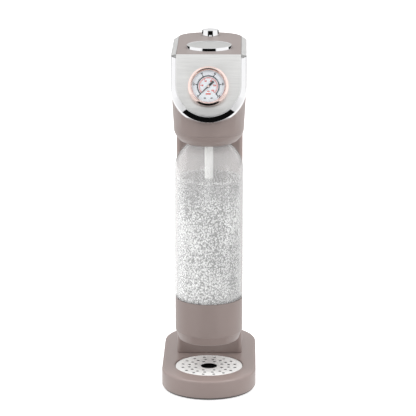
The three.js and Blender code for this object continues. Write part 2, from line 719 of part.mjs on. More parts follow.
function pointerHub() {
  return onGauge(join(disc(2.1, 5.2, 5.9, 0, 0, 16), disc(0.6, 2.4, 5.5, 0, 0, 10)));
}

// ---------------------------------------------------------------- bottle
function bottleBody() {
  const { half, lowHalf: low, bottom, neck, bore, thread, top, wall } = BOTTLE;
  const outer = [
    [0, bottom], [36, bottom], [low, bottom + 6], [low, CUP.top - 0.3], [half, CUP.top + 2], ...DOME,
    [neck, thread], [neck + 1.4, thread], [neck + 1.4, thread + 2.5], [neck, thread + 2.5], [neck, top],
  ];
  const domeInside = DOME.slice(0, -1).reverse().map(([r, z]) => [r - wall, z - wall / 2]);
  const inner = [
    [bore, top], [bore, thread - 5], ...domeInside, [half - wall, CUP.top + 3], [low - wall, CUP.top + 0.7],
    [low - wall, bottom + 7], [35.2, bottom + wall], [0, bottom + wall],
  ];
  return turned([...outer, ...inner], 0, BOTTLE_Y, 28);
}

function bottleCup() {
  const { half, bottom, top, floor } = CUP;
  const inner = half - 1.5;
  const profile = [
    [0, bottom], [39, bottom], [40.6, bottom + 1], [half - 0.5, bottom + 9.5], [half, bottom + 13],
    [half, top], [inner, top], [inner, bottom + 9.8], [36.2, bottom + floor], [0, bottom + floor],
  ];
  return turned(profile, 0, BOTTLE_Y, 28);
}

// ---------------------------------------------------------------- assembly
const machine = new THREE.Group();
machine.position.y = -BASE_MIDDLE;
const object = new THREE.Group();
object.add(machine);

function add(name, solid, finish) {
  const mesh = new THREE.Mesh(geometryOf(solid), finish);
  mesh.name = name;
  machine.add(mesh);
}

add('base_shell', baseShell(), taupe);
add('base_plate', basePlate(), darkPlastic);
fourPlaces(FOOT).forEach(([x, y], i) => add(`foot_${i + 1}`, foot(x, y), rubber));
fourPlaces(SCREW).forEach(([x, y], i) => add(`base_screw_${i + 1}`, baseScrew(x, y), springSteel));
add('drip_tray', dripTray(), darkPlastic);
add('drip_grille', dripGrille(), brushedSteel);

add('column_shell', columnShell(), taupe);
add('rear_cover', rearCover(), taupe);
add('chassis', chassis(), castMetal);
add('cylinder_cradle', cylinderCradle(), darkPlastic);
add('co2_cylinder', co2Cylinder(), castMetal);
add('cylinder_valve', cylinderValve(), brass);
add('valve_block', valveBlock(), brass);
add('valve_plunger', valvePlunger(), springSteel);
add('press_lever', pressLever(), springSteel);
add('lever_pin', leverPin(), springSteel);
add('lever_bracket', leverBracket(), castMetal);

add('head_shell', headShell(), taupe);
add('head_bowl', headBowl(), taupe);
add('chrome_hood', chromeHood(), chrome);
add('front_plate', frontPlate(), brushedSteel);
add('top_plate', topPlate(), taupe);
add('shoulder_right', shoulderRight(), brushedSteel);
add('shoulder_left', mirroredX(shoulderRight()), brushedSteel);

add('carbonation_block', carbonationBlock(), whitePlastic);
add('lock_ring', lockRing(), castMetal);
add('neck_gasket', neckGasket(), rubber);
add('nozzle_tube', nozzleTube(), whitePlastic);
add('nozzle_tip', nozzleTip(), whitePlastic);
add('safety_valve', safetyValve(), brass);
add('gas_hose', gasHose(), darkPlastic);
add('gauge_hose', gaugeHose(), darkPlastic);
add('vent_hose', ventHose(), darkPlastic);

add('button_cap', buttonCap(), chrome);
add('button_face', buttonFace(), brushedSteel);
add('button_stem', buttonStem(), darkPlastic);
add('button_spring', buttonSpring(), springSteel);
add('button_guide', buttonGuide(), darkPlastic);
add('release_knob', releaseKnob(), chrome);
add('knob_stem', knobStem(), darkPlastic);
add('knob_spring', knobSpring(), springSteel);
add('vent_valve', ventValve(), whitePlastic);

add('gauge_case', gaugeCase(), darkPlastic);
add('gauge_bezel', gaugeBezel(), copperChrome);
add('gauge_dial', gaugeDial(), whitePlastic);
add('gauge_lens', gaugeLens(), clearPlastic);
add('gauge_stem', gaugeStem(), brass);
add('bourdon_tube', bourdonTube(), brass);
add('pointer', pointer(), darkPlastic);
add('pointer_hub', pointerHub(), brass);

add('bottle_body', bottleBody(), clearPlastic);
add('bottle_cup', bottleCup(), taupe);

export default object;
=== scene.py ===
import math
import random

import bmesh
import bpy
from mathutils import Matrix, Vector


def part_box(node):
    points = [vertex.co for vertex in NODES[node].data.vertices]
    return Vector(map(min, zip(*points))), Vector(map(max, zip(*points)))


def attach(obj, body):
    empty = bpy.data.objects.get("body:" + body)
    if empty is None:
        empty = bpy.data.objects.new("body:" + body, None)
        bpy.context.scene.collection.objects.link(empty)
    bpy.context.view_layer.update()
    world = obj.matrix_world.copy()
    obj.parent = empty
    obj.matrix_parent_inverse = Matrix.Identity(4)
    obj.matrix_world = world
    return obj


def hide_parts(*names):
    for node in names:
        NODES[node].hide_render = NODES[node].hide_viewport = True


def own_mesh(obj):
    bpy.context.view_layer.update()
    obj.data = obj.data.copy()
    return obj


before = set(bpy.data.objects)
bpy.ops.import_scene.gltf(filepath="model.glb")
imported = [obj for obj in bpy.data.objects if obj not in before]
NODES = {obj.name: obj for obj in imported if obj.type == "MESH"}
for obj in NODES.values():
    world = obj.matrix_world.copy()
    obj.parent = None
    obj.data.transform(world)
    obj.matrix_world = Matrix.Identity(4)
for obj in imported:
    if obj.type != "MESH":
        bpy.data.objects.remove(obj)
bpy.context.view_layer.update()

MM = 0.001          # the design's numbers below are millimetres in the CAD's frame
TAU = 2 * math.pi


# ---- places, from the CAD frame
def span(node):
    low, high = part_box(node)
    return low / MM, high / MM


def middle(node):
    low, high = span(node)
    return (low + high) / 2


def radius_of(node):
    low, high = span(node)
    return (high.x - low.x) / 2


BOTTLE_AXIS = middle("bottle_body")
BUTTON_AXIS = middle("button_cap")
KNOB_AXIS = middle("release_knob")
CYLINDER_AXIS = middle("co2_cylinder")
BASE_LOW, BASE_HIGH = span("base_shell")
HEAD_LOW, HEAD_HIGH = span("head_shell")
TOP_LOW, TOP_HIGH = span("top_plate")
COLUMN_LOW, COLUMN_HIGH = span("column_shell")
TOP_Z = TOP_HIGH.z
DATUM_Y = COLUMN_LOW.y - 3
REAR_ROUND_Y = DATUM_Y + 62

PLATE_TILT = math.radians(24)
PLATE_HALF = radius_of("front_plate")
PLATE_RUN = 38.2
GAUGE_DOWN = 3.6
HOOD_HALF = radius_of("chrome_hood")
HOOD_BACK = 17
HOOD_LAND = 15.6
HOOD_BREAK_DEPTH = 9
HOOD_BREAK_INSET = 1.0
U_SIDE = 70
ROUND_STEPS = 72
HEAD_HALF = radius_of("head_shell")
TOP_HALF = span("shoulder_right")[0].x - 0.3
WALL = 2.5

UP_PLATE = Vector((0, math.sin(PLATE_TILT), math.cos(PLATE_TILT)))
OUT_OF_PLATE = Vector((0, -math.cos(PLATE_TILT), math.sin(PLATE_TILT)))
PLATE_CENTRE = Vector((0, DATUM_Y - 88.3, TOP_Z - PLATE_RUN * math.cos(PLATE_TILT)))


def plate_matrix(centre):
    turn = Matrix((Vector((1, 0, 0)), UP_PLATE, OUT_OF_PLATE)).transposed()
    return Matrix.Translation(centre) @ turn.to_4x4()


PLATE = plate_matrix(PLATE_CENTRE)
GAUGE = plate_matrix(PLATE_CENTRE - UP_PLATE * GAUGE_DOWN)


# ---- materials
class Nodes:
    """A shader's node tree, with short ways to add to it."""

    def __init__(self, tree):
        self.tree = tree

    def node(self, kind, **values):
        made = self.tree.nodes.new(kind)
        for key, value in values.items():
            if key in made.inputs:
                made.inputs[key].default_value = value
            else:
                setattr(made, key, value)
        return made

    def link(self, start, end):
        self.tree.links.new(start, end)

    def feed(self, sockets, values):
        for socket, value in zip(sockets, values):
            if isinstance(value, bpy.types.NodeSocket):
                self.link(value, socket)
            else:
                socket.default_value = value

    def math(self, operation, *values):
        made = self.node("ShaderNodeMath", operation=operation)
        self.feed(made.inputs, values)
        return made.outputs["Value"]

    def vector(self, operation, *values):
        made = self.node("ShaderNodeVectorMath", operation=operation)
        self.feed(made.inputs, values)
        return made.outputs["Value" if operation == "LENGTH" else "Vector"]

    def ramp(self, fac, stops):
        """Greys, or colours, by position: stops are (position, grey) or (position, (r, g, b))."""
        made = self.node("ShaderNodeValToRGB")
        while len(made.color_ramp.elements) < len(stops):
            made.color_ramp.elements.new(0.5)
        for element, (position, value) in zip(made.color_ramp.elements, stops):
            element.position = position
            element.color = (*(value if isinstance(value, (tuple, list)) else [value] * 3), 1)
        self.link(fac, made.inputs["Fac"])
        return made.outputs["Color"]

    def spread(self, value, to_low, to_high, from_low=0.0, from_high=1.0):
        made = self.node("ShaderNodeMapRange")
        self.feed(made.inputs, (value, from_low, from_high, to_low, to_high))
        return made.outputs["Result"]


class Finish(Nodes):
    """A Principled material and the few node chains that the finishes below share."""

    def __init__(self, name, colour, roughness, metallic=0.0, **sockets):
        self.material = bpy.data.materials.new(name)
        self.material.use_nodes = True
        super().__init__(self.material.node_tree)
        self.bsdf = self.tree.nodes["Principled BSDF"]
        self.colour = [linear(c) for c in colour]
        self.roughness = roughness
        self.bsdf.inputs["Base Color"].default_value = (*self.colour, 1)
        self.bsdf.inputs["Roughness"].default_value = roughness
        self.bsdf.inputs["Metallic"].default_value = metallic
        for socket, value in sockets.items():
            self.bsdf.inputs[socket].default_value = value

    def set(self, socket, value):
        self.link(value, self.bsdf.inputs[socket])

    def place(self):
        return self.node("ShaderNodeTexCoord").outputs["Object"]

    def stretched(self, scale):
        mapping = self.node("ShaderNodeMapping", Scale=scale)
        self.link(self.place(), mapping.inputs["Vector"])
        return mapping.outputs["Vector"]

    def noise(self, scale, detail=3.0, stretch=(1, 1, 1)):
        made = self.node("ShaderNodeTexNoise", Scale=scale, Detail=detail)
        self.link(self.stretched(stretch), made.inputs["Vector"])
        return made.outputs["Fac"]

    def facing(self, stops):
        """Greys by how far the surface turns away, from 0 face on to 1 edge on."""
        return self.ramp(self.node("ShaderNodeLayerWeight", Blend=0.5).outputs["Facing"], stops)

    def vary_colour(self, fac, amount):
        dark = [c * (1 - amount) for c in self.colour]
        light = [min(1, c * (1 + amount)) for c in self.colour]
        self.set("Base Color", self.ramp(fac, [(0.3, dark), (0.7, light)]))

    def vary_roughness(self, fac, amount):
        self.set("Roughness", self.spread(fac, max(0.0, self.roughness - amount), self.roughness + amount))

    def bump(self, fac, strength, depth_mm):
        made = self.node("ShaderNodeBump", Strength=strength, Distance=depth_mm * MM)
        self.link(fac, made.inputs["Height"])
        self.set("Normal", made.outputs["Normal"])


def linear(c):
    return c / 12.92 if c <= 0.04045 else ((c + 0.055) / 1.055) ** 2.4


def moulded(name, colour, roughness, grain_mm, depth_mm):
    made = Finish(name, colour, roughness)
    grain = made.noise(1 / (grain_mm * MM), detail=2)
    clouds = made.noise(28, detail=4)
    made.vary_colour(clouds, 0.03)
    made.vary_roughness(clouds, 0.04)
    made.bump(grain, 0.5, depth_mm)
    return made.material


def brushed(name, colour, roughness, stretch, metallic=1.0):
    made = Finish(name, colour, roughness, metallic=metallic)
    streaks = made.noise(900, detail=4, stretch=stretch)
    made.vary_colour(streaks, 0.05)
    made.vary_roughness(streaks, 0.07)
    made.bump(streaks, 0.25, 0.006)
    return made.material


def polished(name, colour, roughness=0.04):
    made = Finish(name, colour, roughness, metallic=1.0)
    haze = made.noise(60, detail=5)
    made.vary_roughness(haze, 0.02)
    made.vary_colour(haze, 0.015)
    return made.material


def cast_metal(name, colour, roughness):
    made = Finish(name, colour, roughness, metallic=1.0)
    grain = made.noise(1400, detail=3)
    made.vary_colour(made.noise(80, detail=3), 0.06)
    made.vary_roughness(grain, 0.08)
    made.bump(grain, 0.3, 0.01)
    return made.material


TAUPE = moulded("taupe_plastic", (0.582, 0.524, 0.507), 0.34, grain_mm=0.45, depth_mm=0.005)
DARK = moulded("dark_plastic", (0.19, 0.18, 0.175), 0.5, grain_mm=0.6, depth_mm=0.02)
BLACK = moulded("gauge_black", (0.035, 0.035, 0.04), 0.45, grain_mm=0.3, depth_mm=0.005)
WHITE = moulded("white_plastic", (0.90, 0.90, 0.89), 0.3, grain_mm=0.8, depth_mm=0.004)
RUBBER = moulded("black_rubber", (0.11, 0.11, 0.11), 0.85, grain_mm=0.7, depth_mm=0.05)
PLATE_STEEL = brushed("brushed_plate", (0.95, 0.95, 0.945), 0.38, (0.05, 1, 1))
SHOULDER_STEEL = brushed("brushed_shoulder", (0.92, 0.92, 0.915), 0.34, (1, 0.05, 1), metallic=0.8)
PLATED = cast_metal("plated_steel", (0.70, 0.70, 0.71), 0.32)
ALUMINIUM = brushed("cylinder_aluminium", (0.80, 0.80, 0.81), 0.35, (1, 1, 0.05))
BRASS = cast_metal("machined_brass", (0.83, 0.68, 0.40), 0.28)
CHROME = polished("chrome", (0.93, 0.93, 0.935))
GRILLE_STEEL = brushed("grille_steel", (0.97, 0.97, 0.965), 0.42, (1, 1, 1), metallic=0.06)
PLINTH = moulded("plinth_plastic", (0.36, 0.345, 0.34), 0.5, grain_mm=0.6, depth_mm=0.02)
COPPER = polished("rose_chrome", (0.98, 0.89, 0.86), 0.10)


def button_face_finish():
    """Brushed round and round: rings from the distance to the button's axis."""
    made = Finish("spun_steel", (0.83, 0.83, 0.825), 0.34, metallic=1.0)
    offset = made.vector("SUBTRACT", made.place(), Vector((BUTTON_AXIS.x, BUTTON_AXIS.y, 0)) * MM)
    rings = made.node("ShaderNodeTexNoise", noise_dimensions="1D", Scale=2600.0, Detail=4.0)
    made.link(made.vector("LENGTH", made.vector("MULTIPLY", offset, (1, 1, 0))), rings.inputs["W"])
    made.vary_colour(rings.outputs["Fac"], 0.06)
    made.vary_roughness(rings.outputs["Fac"], 0.08)
    made.bump(rings.outputs["Fac"], 0.2, 0.004)
    return made.material


def dial_finish():
    made = Finish("dial_enamel", (0.955, 0.975, 0.995), 0.35)
    made.vary_colour(made.noise(200, detail=3), 0.012)
    return made.material


def ink(name, colour):
    made = Finish(name, colour, 0.5)
    made.vary_colour(made.noise(2000, detail=2), 0.08)
    return made.material


def bottle_finish():
    """Clear plastic that thickens towards its edges, with painted shade, a grey line, just inside each of
    them.
    """
    made = Finish("clear_bottle", (0.96, 0.965, 0.965), 0.03, IOR=1.7)
    thickness = [(0.0, 0.17), (0.45, 0.20), (0.68, 0.28), (0.80, 0.58), (0.90, 0.5), (1.0, 0.8)]
    made.set("Alpha", made.facing(thickness))
    # Painted shade: the base colour darkens to grey in a band just inside each edge, then lightens again at
    # the rim.
    made.set("Base Color", made.facing([(0.0, 0.93), (0.74, 0.93), (0.83, 0.36), (0.90, 0.85), (1.0, 0.75)]))
    ripple = made.noise(45, detail=2, stretch=(1, 1, 0.4))
    made.bump(ripple, 0.12, 0.2)
    made.vary_roughness(ripple, 0.015)
    return made.material


def lens_finish():
    made = Finish("gauge_glass", (0.97, 0.98, 1.0), 0.02)
    made.set("Alpha", made.facing([(0.0, 0.03), (0.7, 0.06), (1.0, 0.4)]))
    made.vary_roughness(made.noise(80), 0.01)
    return made.material


def water_finish():
    """Water clouded by rising gas: fine white and grey cells in drifting patches, clearer at the top."""
    made = Finish("gassed_water", (0.96, 0.965, 0.96), 0.2)
    cells = made.node("ShaderNodeTexVoronoi", Scale=470.0)
    made.link(made.stretched((1, 1, 0.85)), cells.inputs["Vector"])
    specks = made.noise(620, detail=3)
    drift = made.noise(30, detail=4, stretch=(1, 1, 0.5))
    grain = made.math("MULTIPLY_ADD", cells.outputs["Distance"], 0.9, specks)
    density = made.math("MULTIPLY", made.math("MULTIPLY_ADD", drift, 0.55, grain), 1 / 1.5)
    made.set("Base Color", made.ramp(density, [(0.6, (1.0, 1.01, 1.0)), (0.92, (0.06, 0.0606, 0.06))]))
    normal = made.node("ShaderNodeSeparateXYZ")
    made.link(made.node("ShaderNodeNewGeometry").outputs["Normal"], normal.inputs["Vector"])
    place = made.node("ShaderNodeSeparateXYZ")
    made.link(made.place(), place.inputs["Vector"])
    surface = made.spread(normal.outputs["Z"], 0.94, 0.25, 0.4, 0.9)
    depth = made.spread(place.outputs["Z"], 0.94, 0.36, (WATER_Z - 30) * MM, (WATER_Z - 4) * MM)
    made.set("Alpha", made.math("MINIMUM", surface, depth))
    made.bump(grain, 0.5, 0.4)
    return made.material


def bubble_finish():
    made = Finish("gas_bubble", (0.97, 0.98, 0.97), 0.08)
    # Painted reflection and shade: each bubble is white face on and dark towards its rim.
    made.set("Base Color", made.facing([(0.0, 1.0), (0.7, 0.95), (0.95, 0.3), (1.0, 0.2)]))
    made.set("Alpha", made.facing([(0.0, 0.55), (0.7, 0.75), (1.0, 0.95)]))
    made.vary_roughness(made.noise(700), 0.04)
    return made.material


# ---- mesh building
def fillet(profile, closed):
    """Rounds the corners of a profile whose points are (r, z) or (r, z, corner radius)."""
    rounded = []
    count = len(profile)
    for i, (r, z, *corner) in enumerate(profile):
        if not corner or (not closed and i in (0, count - 1)):
            rounded.append((r, z))
            continue
        here = Vector((r, z))
        before = Vector(profile[i - 1][:2]) - here
        after = Vector(profile[(i + 1) % count][:2]) - here
        half = before.angle(after) / 2
        reach = min(corner[0] / math.tan(half), 0.48 * before.length, 0.48 * after.length)
        start = here + before.normalized() * reach
        end = here + after.normalized() * reach
        weight = math.sin(half)
        steps = 6
        for k in range(steps + 1):
            t = k / steps
            a, b, c = (1 - t) ** 2, 2 * t * (1 - t) * weight, t * t
            point = (start * a + here * b + end * c) / (a + b + c)
            rounded.append((point.x, point.y))
    return rounded


def new_object(name, data):
    made = bpy.data.objects.new(name, data)
    bpy.context.scene.collection.objects.link(made)
    return made


def mesh_object(name, verts, faces, matrix=None):
    place = matrix or Matrix.Identity(4)
    mesh = bpy.data.meshes.new(name)
    mesh.from_pydata([(place @ Vector(v)) * MM for v in verts], [], faces)
    bm = bmesh.new()
    bm.from_mesh(mesh)
    bmesh.ops.remove_doubles(bm, verts=bm.verts, dist=1e-6)
    bmesh.ops.recalc_face_normals(bm, faces=bm.faces)
    bm.to_mesh(mesh)
    bm.free()
    return new_object(name, mesh)


def revolve(name, profile, axis, segments, matrix=None):
    """A profile turned about the vertical line through axis. It starts and ends on the axis, or closes
    on itself. With a matrix, the axis is that frame's own Z."""
    closed = profile[0][0] > 0
    points = fillet(profile, closed)
    x, y = axis[0], axis[1]
    verts = []
    rings = []
    for r, z in points:
        if r < 1e-6:
            rings.append([len(verts)] * segments)
            verts.append((x, y, z))
            continue
        rings.append(list(range(len(verts), len(verts) + segments)))
        verts += [(x + r * math.cos(TAU * k / segments), y + r * math.sin(TAU * k / segments), z)
                  for k in range(segments)]
    pairs = list(zip(rings, rings[1:] + rings[:1])) if closed else list(zip(rings, rings[1:]))
    faces = []
    for low, high in pairs:
        for k in range(segments):
            n = (k + 1) % segments
            corner = list(dict.fromkeys([low[k], low[n], high[n], high[k]]))
            if len(corner) > 2:
                faces.append(corner)
    return mesh_object(name, verts, faces, matrix)


def tube_faces(rows, size):
    """Quads from each ring of points to the next, and a face over each end."""
    faces = [(r * size + k, r * size + (k + 1) % size, (r + 1) * size + (k + 1) % size, (r + 1) * size + k)
             for r in range(rows - 1) for k in range(size)]
    last = (rows - 1) * size
    return [*faces, tuple(reversed(range(size))), tuple(range(last, last + size))]


def loft(name, sections, matrix=None):
    """Closed body through outlines of equal point count; each section is (z, outline)."""
    verts = [(x, y, z) for z, outline in sections for x, y in outline]
    return mesh_object(name, verts, tube_faces(len(sections), len(sections[0][1])), matrix)


def arc(cx, cy, rx, ry, start, end, segments):
    return [(cx + rx * math.cos(start + (end - start) * k / segments),
             cy + ry * math.sin(start + (end - start) * k / segments)) for k in range(segments + 1)]


def rounded_edges(low, high, low_round, high_round, steps):
    """Heights and insets for a loft whose lower and upper edges are rounded."""
    turns = [math.pi / 2 * k / steps for k in range(steps + 1)]
    lower = [(low + low_round * (1 - math.cos(a)), low_round * (1 - math.sin(a))) for a in turns]
    upper = [(high - high_round * (1 - math.sin(a)), high_round * (1 - math.cos(a))) for a in turns]
    return lower + upper


def evaluated(obj):
    graph = bpy.context.evaluated_depsgraph_get()
    mesh = bpy.data.meshes.new_from_object(obj.evaluated_get(graph))
    obj.modifiers.clear()
    obj.data = mesh
    return obj


def boolean(obj, tool, operation):
    made = obj.modifiers.new("boolean", "BOOLEAN")
    made.operation = operation
    made.object = tool
    made.solver = "EXACT"
    evaluated(obj)
    bpy.data.objects.remove(tool)
    return obj


def cut(obj, *tools):
    for tool in tools:
        boolean(obj, tool, "DIFFERENCE")
    return obj


def joined(obj, *tools):
    for tool in tools:
        boolean(obj, tool, "UNION")
    return obj


def merged(name, objects):
    """One mesh of several loose ones."""
    bm = bmesh.new()
    for item in objects:
        bm.from_mesh(item.data)
        bpy.data.objects.remove(item)
    mesh = bpy.data.meshes.new(name)
    bm.to_mesh(mesh)
    bm.free()
    return new_object(name, mesh)


def bevelled(obj, width_mm, segments=3, angle=35):
    made = obj.modifiers.new("bevel", "BEVEL")
    made.width = width_mm * MM
    made.segments = segments
    made.limit_method = "ANGLE"
    made.angle_limit = math.radians(angle)
    made.use_clamp_overlap = True
    return evaluated(obj)


def block(name, x0, x1, y0, y1, z0, z1, matrix=None):
    return loft(name, [(z, [(x0, y0), (x1, y0), (x1, y1), (x0, y1)]) for z in (z0, z1)], matrix)


def plug(name, radius, low, high, axis, segments, matrix=None):
    """A plain round body, to cut a hole with or to join on."""
    return revolve(name, [(0, low), (radius, low), (radius, high), (0, high)], axis, segments, matrix)


def finish(obj, material, body, nodes=(), sharp=30):
    """Material, smooth shading up to the sharp angle, the piece's body, and the CAD nodes it replaces hidden.
    """
    obj.data.materials.clear()
    obj.data.materials.append(material)
    for polygon in obj.data.polygons:
        polygon.material_index = 0
        polygon.use_smooth = True
    obj.data.set_sharp_from_angle(angle=math.radians(sharp))
    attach(obj, body)
    if nodes:
        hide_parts(*nodes)
    return obj


# ---- base
BASE_HALF = radius_of("base_shell")
BASE_RUN = BASE_HIGH.y - BASE_HALF
TRAY_AXIS = middle("drip_tray")


def stadium(radius):
    steps = 56
    return (arc(0, -BASE_RUN, radius, radius, math.pi, TAU, steps)
            + arc(0, BASE_RUN, radius, radius, 0, math.pi, steps))


def build_base():
    high = BASE_HIGH.z
    foot_round = 0.8
    top_round = 3.4
    edges = rounded_edges(BASE_LOW.z, high, foot_round, top_round, 7)
    shell = loft("base_body", [(z, stadium(BASE_HALF - inset)) for z, inset in edges])
    reach = radius_of("drip_tray") + 0.4
    floor = span("drip_tray")[0].z - 0.3
    pocket = revolve("pocket", [(0, floor), (reach, floor), (reach, high - 0.9), (reach + 0.8, high + 0.05),
                                (reach + 0.8, 60), (0, 60)], TRAY_AXIS, 160)
    cut(shell, pocket)
    finish(shell, TAUPE, "stand", ["base_shell"])

    plinth_low, plinth_high = span("base_plate")
    half = radius_of("base_plate")
    edges = rounded_edges(plinth_low.z, plinth_high.z, 0.5, 0.5, 3)
    plinth = loft("plinth", [(z, stadium(half - inset)) for z, inset in edges])
    holes = []
    for node in [f"foot_{i}" for i in range(1, 5)] + [f"base_screw_{i}" for i in range(1, 5)]:
        clearance = radius_of(node) + 0.3
        holes.append(plug("hole", clearance, -5, 2.2, middle(node), 48))
    cut(plinth, merged("holes", holes))
    finish(plinth, PLINTH, "stand", ["base_plate"])


def build_feet_and_screws():
    for i in range(1, 5):
        _, high = span(f"foot_{i}")
        half = radius_of(f"foot_{i}")
        pad = revolve(f"rubber_foot_{i}", [
            (0, 0.35), (half - 3.4, 0.35, 0.2), (half - 2.8, 0, 0.2), (half, 0, 0.7), (half, high.z, 0.3),
            (0, high.z)], middle(f"foot_{i}"), 64)
        finish(pad, RUBBER, "stand", [f"foot_{i}"])
        _, high = span(f"base_screw_{i}")
        axis = middle(f"base_screw_{i}")
        head = radius_of(f"base_screw_{i}")
        screw = revolve(f"plinth_screw_{i}", [
            (0, 0.9), (head - 0.4, 0.9, 0.3), (head, 1.3, 0.3), (head, 1.9), (1.5, 1.9), (1.5, high.z - 1),
            (0.6, high.z), (0, high.z)], axis, 48)
        slots = [block("slot", axis.x - a, axis.x + a, axis.y - b, axis.y + b, 0, 1.4)
                 for a, b in ((2.2, 0.35), (0.35, 2.2))]
        finish(cut(screw, *slots), PLATED, "stand", [f"base_screw_{i}"])


# Rings of drain holes: (radius, number of holes).
GRILLE_RINGS = ((34.6, 16), (26.0, 16), (18.3, 8))


def build_drip_tray():
    low, high = span("drip_tray")
    half = radius_of("drip_tray")
    floor = low.z + 1.5
    tray = revolve("tray_cup", [
        (0, low.z), (half, low.z, 2), (half, high.z, 0.4), (half - 1.7, high.z, 0.4),
        (half - 1.7, floor, 2.5), (0, floor)], TRAY_AXIS, 144)
    finish(tray, DARK, "tray", ["drip_tray"])

    low, high = span("drip_grille")
    plate_low = high.z - 0.4
    half = radius_of("drip_grille")
    drain = 10.6
    skirt = 41.4
    skirt_inner = 40
    bore = 2.1
    mouth = 2.2
    grille = revolve("grille_disc", [
        (drain, plate_low, 0.2), (skirt_inner, plate_low), (skirt_inner, low.z, 0.3), (skirt, low.z, 0.3),
        (skirt, plate_low), (half, plate_low, 0.2), (half, high.z, 0.25), (drain, high.z, 0.25)],
        TRAY_AXIS, 160)
    holes = []
    for ring_radius, count in GRILLE_RINGS:
        for k in range(count):
            angle = TAU * (k + 0.5) / count
            x = TRAY_AXIS.x + ring_radius * math.cos(angle)
            y = TRAY_AXIS.y + ring_radius * math.sin(angle)
            holes.append(revolve("hole", [
                (0, 15), (bore, 15), (bore, high.z - 0.15), (mouth, high.z + 0.05), (mouth, 40), (0, 40)],
                (x, y), 20))
    cut(grille, merged("holes", holes))
    finish(grille, GRILLE_STEEL, "tray", ["drip_grille"])


# ---- column and gas cylinder
COVER_LOW, COVER_HIGH = span("rear_cover")
COLUMN_HALF = radius_of("column_shell")


def column_plan(inset):
    corner = 6 - inset
    half = COLUMN_HALF - inset
    y = COLUMN_LOW.y + 6
    return (arc(-half + corner, y, corner, corner, math.pi, 1.5 * math.pi, 10)
            + arc(half - corner, y, corner, corner, 1.5 * math.pi, TAU, 10))


def build_column():
    back = COLUMN_HIGH.y
    half = COLUMN_HALF
    outer = column_plan(0) + [(half, back), (half - WALL, back)]
    inner = [(x, y) for x, y in reversed(column_plan(WALL))]
    ring = outer + inner + [(-half + WALL, back), (-half, back)]
    shell = loft("column_front", [(z, ring) for z in (COLUMN_LOW.z, COLUMN_HIGH.z)])
    finish(bevelled(shell, 0.5, angle=50), TAUPE, "stand", ["column_shell"])

    front = COVER_LOW.y
    depth = COVER_HIGH.y - REAR_ROUND_Y
    outer = arc(0, REAR_ROUND_Y, half, depth, 0, math.pi, 64)
    inner = list(reversed(arc(0, REAR_ROUND_Y, half - WALL, depth - WALL, 0, math.pi, 64)))
    ring = ([(half - WALL, front), (half, front)] + outer
            + [(-half, front), (-half + WALL, front)] + inner)
    cover = loft("column_rear_cover", [(z, ring) for z in (COVER_LOW.z, COVER_HIGH.z)])
    finish(bevelled(cover, 0.5, angle=50), TAUPE, "cover", ["rear_cover"])


def build_gas_cylinder():
    low, high = span("co2_cylinder")
    half = radius_of("co2_cylinder")
    shoulder = high.z - 28
    bottle = revolve("gas_cylinder_body", [
        (0, low.z + 5), (half - 12, low.z + 3, 6), (half - 7, low.z, 2), (half, low.z + 2, 4),
        (half, shoulder, 16), (half - 9, shoulder + 17, 12), (14, shoulder + 21, 4), (14, high.z, 0.6),
        (5.8, high.z, 0.3), (5.8, high.z - 9), (17, shoulder + 12), (25, shoulder), (25, low.z + 8, 4),
        (0, low.z + 8)], CYLINDER_AXIS, 96)
    finish(bottle, ALUMINIUM, "gas_cylinder", ["co2_cylinder"])
    low, high = span("cylinder_valve")
    hex_low = span("co2_cylinder")[1].z + 0.3
    hex_high = hex_low + 6
    hexagon = plug("valve_hex", 11, hex_low, hex_high, CYLINDER_AXIS, 6)
    grooves = []
    z = hex_high + 1
    while z < high.z - 2:
        grooves += [(9, z), (9, z + 0.7), (8.4, z + 1.1), (8.4, z + 1.4)]
        z += 1.8
    stem = revolve("valve_stem", [
        (0, low.z), (5.5, low.z, 0.5), (5.5, hex_low + 1), (8.4, hex_high - 1), *grooves, (8.6, high.z, 0.5),
        (2.4, high.z), (2.4, high.z - 10), (0, high.z - 10)], CYLINDER_AXIS, 64)
    valve = joined(bevelled(hexagon, 0.4), stem)
    finish(valve, BRASS, "gas_cylinder", ["cylinder_valve"])


# ---- head
HEAD_LOW_HALF = 44.5
HEAD_FLARE = HEAD_LOW.z + 40


def head_plan(half, depth):
    return (arc(0, BOTTLE_AXIS.y, half, half, math.pi, TAU, ROUND_STEPS)
            + arc(0, REAR_ROUND_Y, half, depth, 0, math.pi, ROUND_STEPS))


def hood_plan(half):
    """The closed U of the slanted front, in the plate's own frame."""
    return arc(0, 0, half, half, math.pi, TAU, ROUND_STEPS) + [(half, U_SIDE), (-half, U_SIDE)]


def head_body(name, inset, low, high, tunnel_front, edge=0.0):
    depth = HEAD_HIGH.y - REAR_ROUND_Y
    half = HEAD_HALF - inset
    low_half = HEAD_LOW_HALF - inset
    sections = []
    if edge:
        sections = [(low + edge * (1 - math.cos(a)),
                     head_plan(low_half - edge * (1 - math.sin(a)), depth - inset - edge * (1 - math.sin(a))))
                    for a in (math.pi / 2 * k / 5 for k in range(5))]
    for z in (low + edge, HEAD_LOW.z + 3, HEAD_FLARE, high):
        share = min(1, max(0, (z - HEAD_LOW.z) / (HEAD_FLARE - HEAD_LOW.z)))
        sections.append((z, head_plan(low_half + (half - low_half) * share, depth - inset)))
    upright = loft(name, sections)
    tunnel = loft("tunnel", [(-62, hood_plan(half)), (tunnel_front, hood_plan(half))], PLATE)
    band = block("band", -100, 100, -300, 20, HEAD_LOW.z + 19, high)
    return joined(upright, boolean(tunnel, band, "INTERSECT"))


def ahead_of_plane(depth):
    """All that lies in front of the slanted plate's plane, to cut away."""
    return block("ahead", -200, 200, -200, 200, depth, 300, PLATE)


def above(z):
    """All that lies above a level, to cut away."""
    return block("above", -100, 100, -300, 300, z, 600)


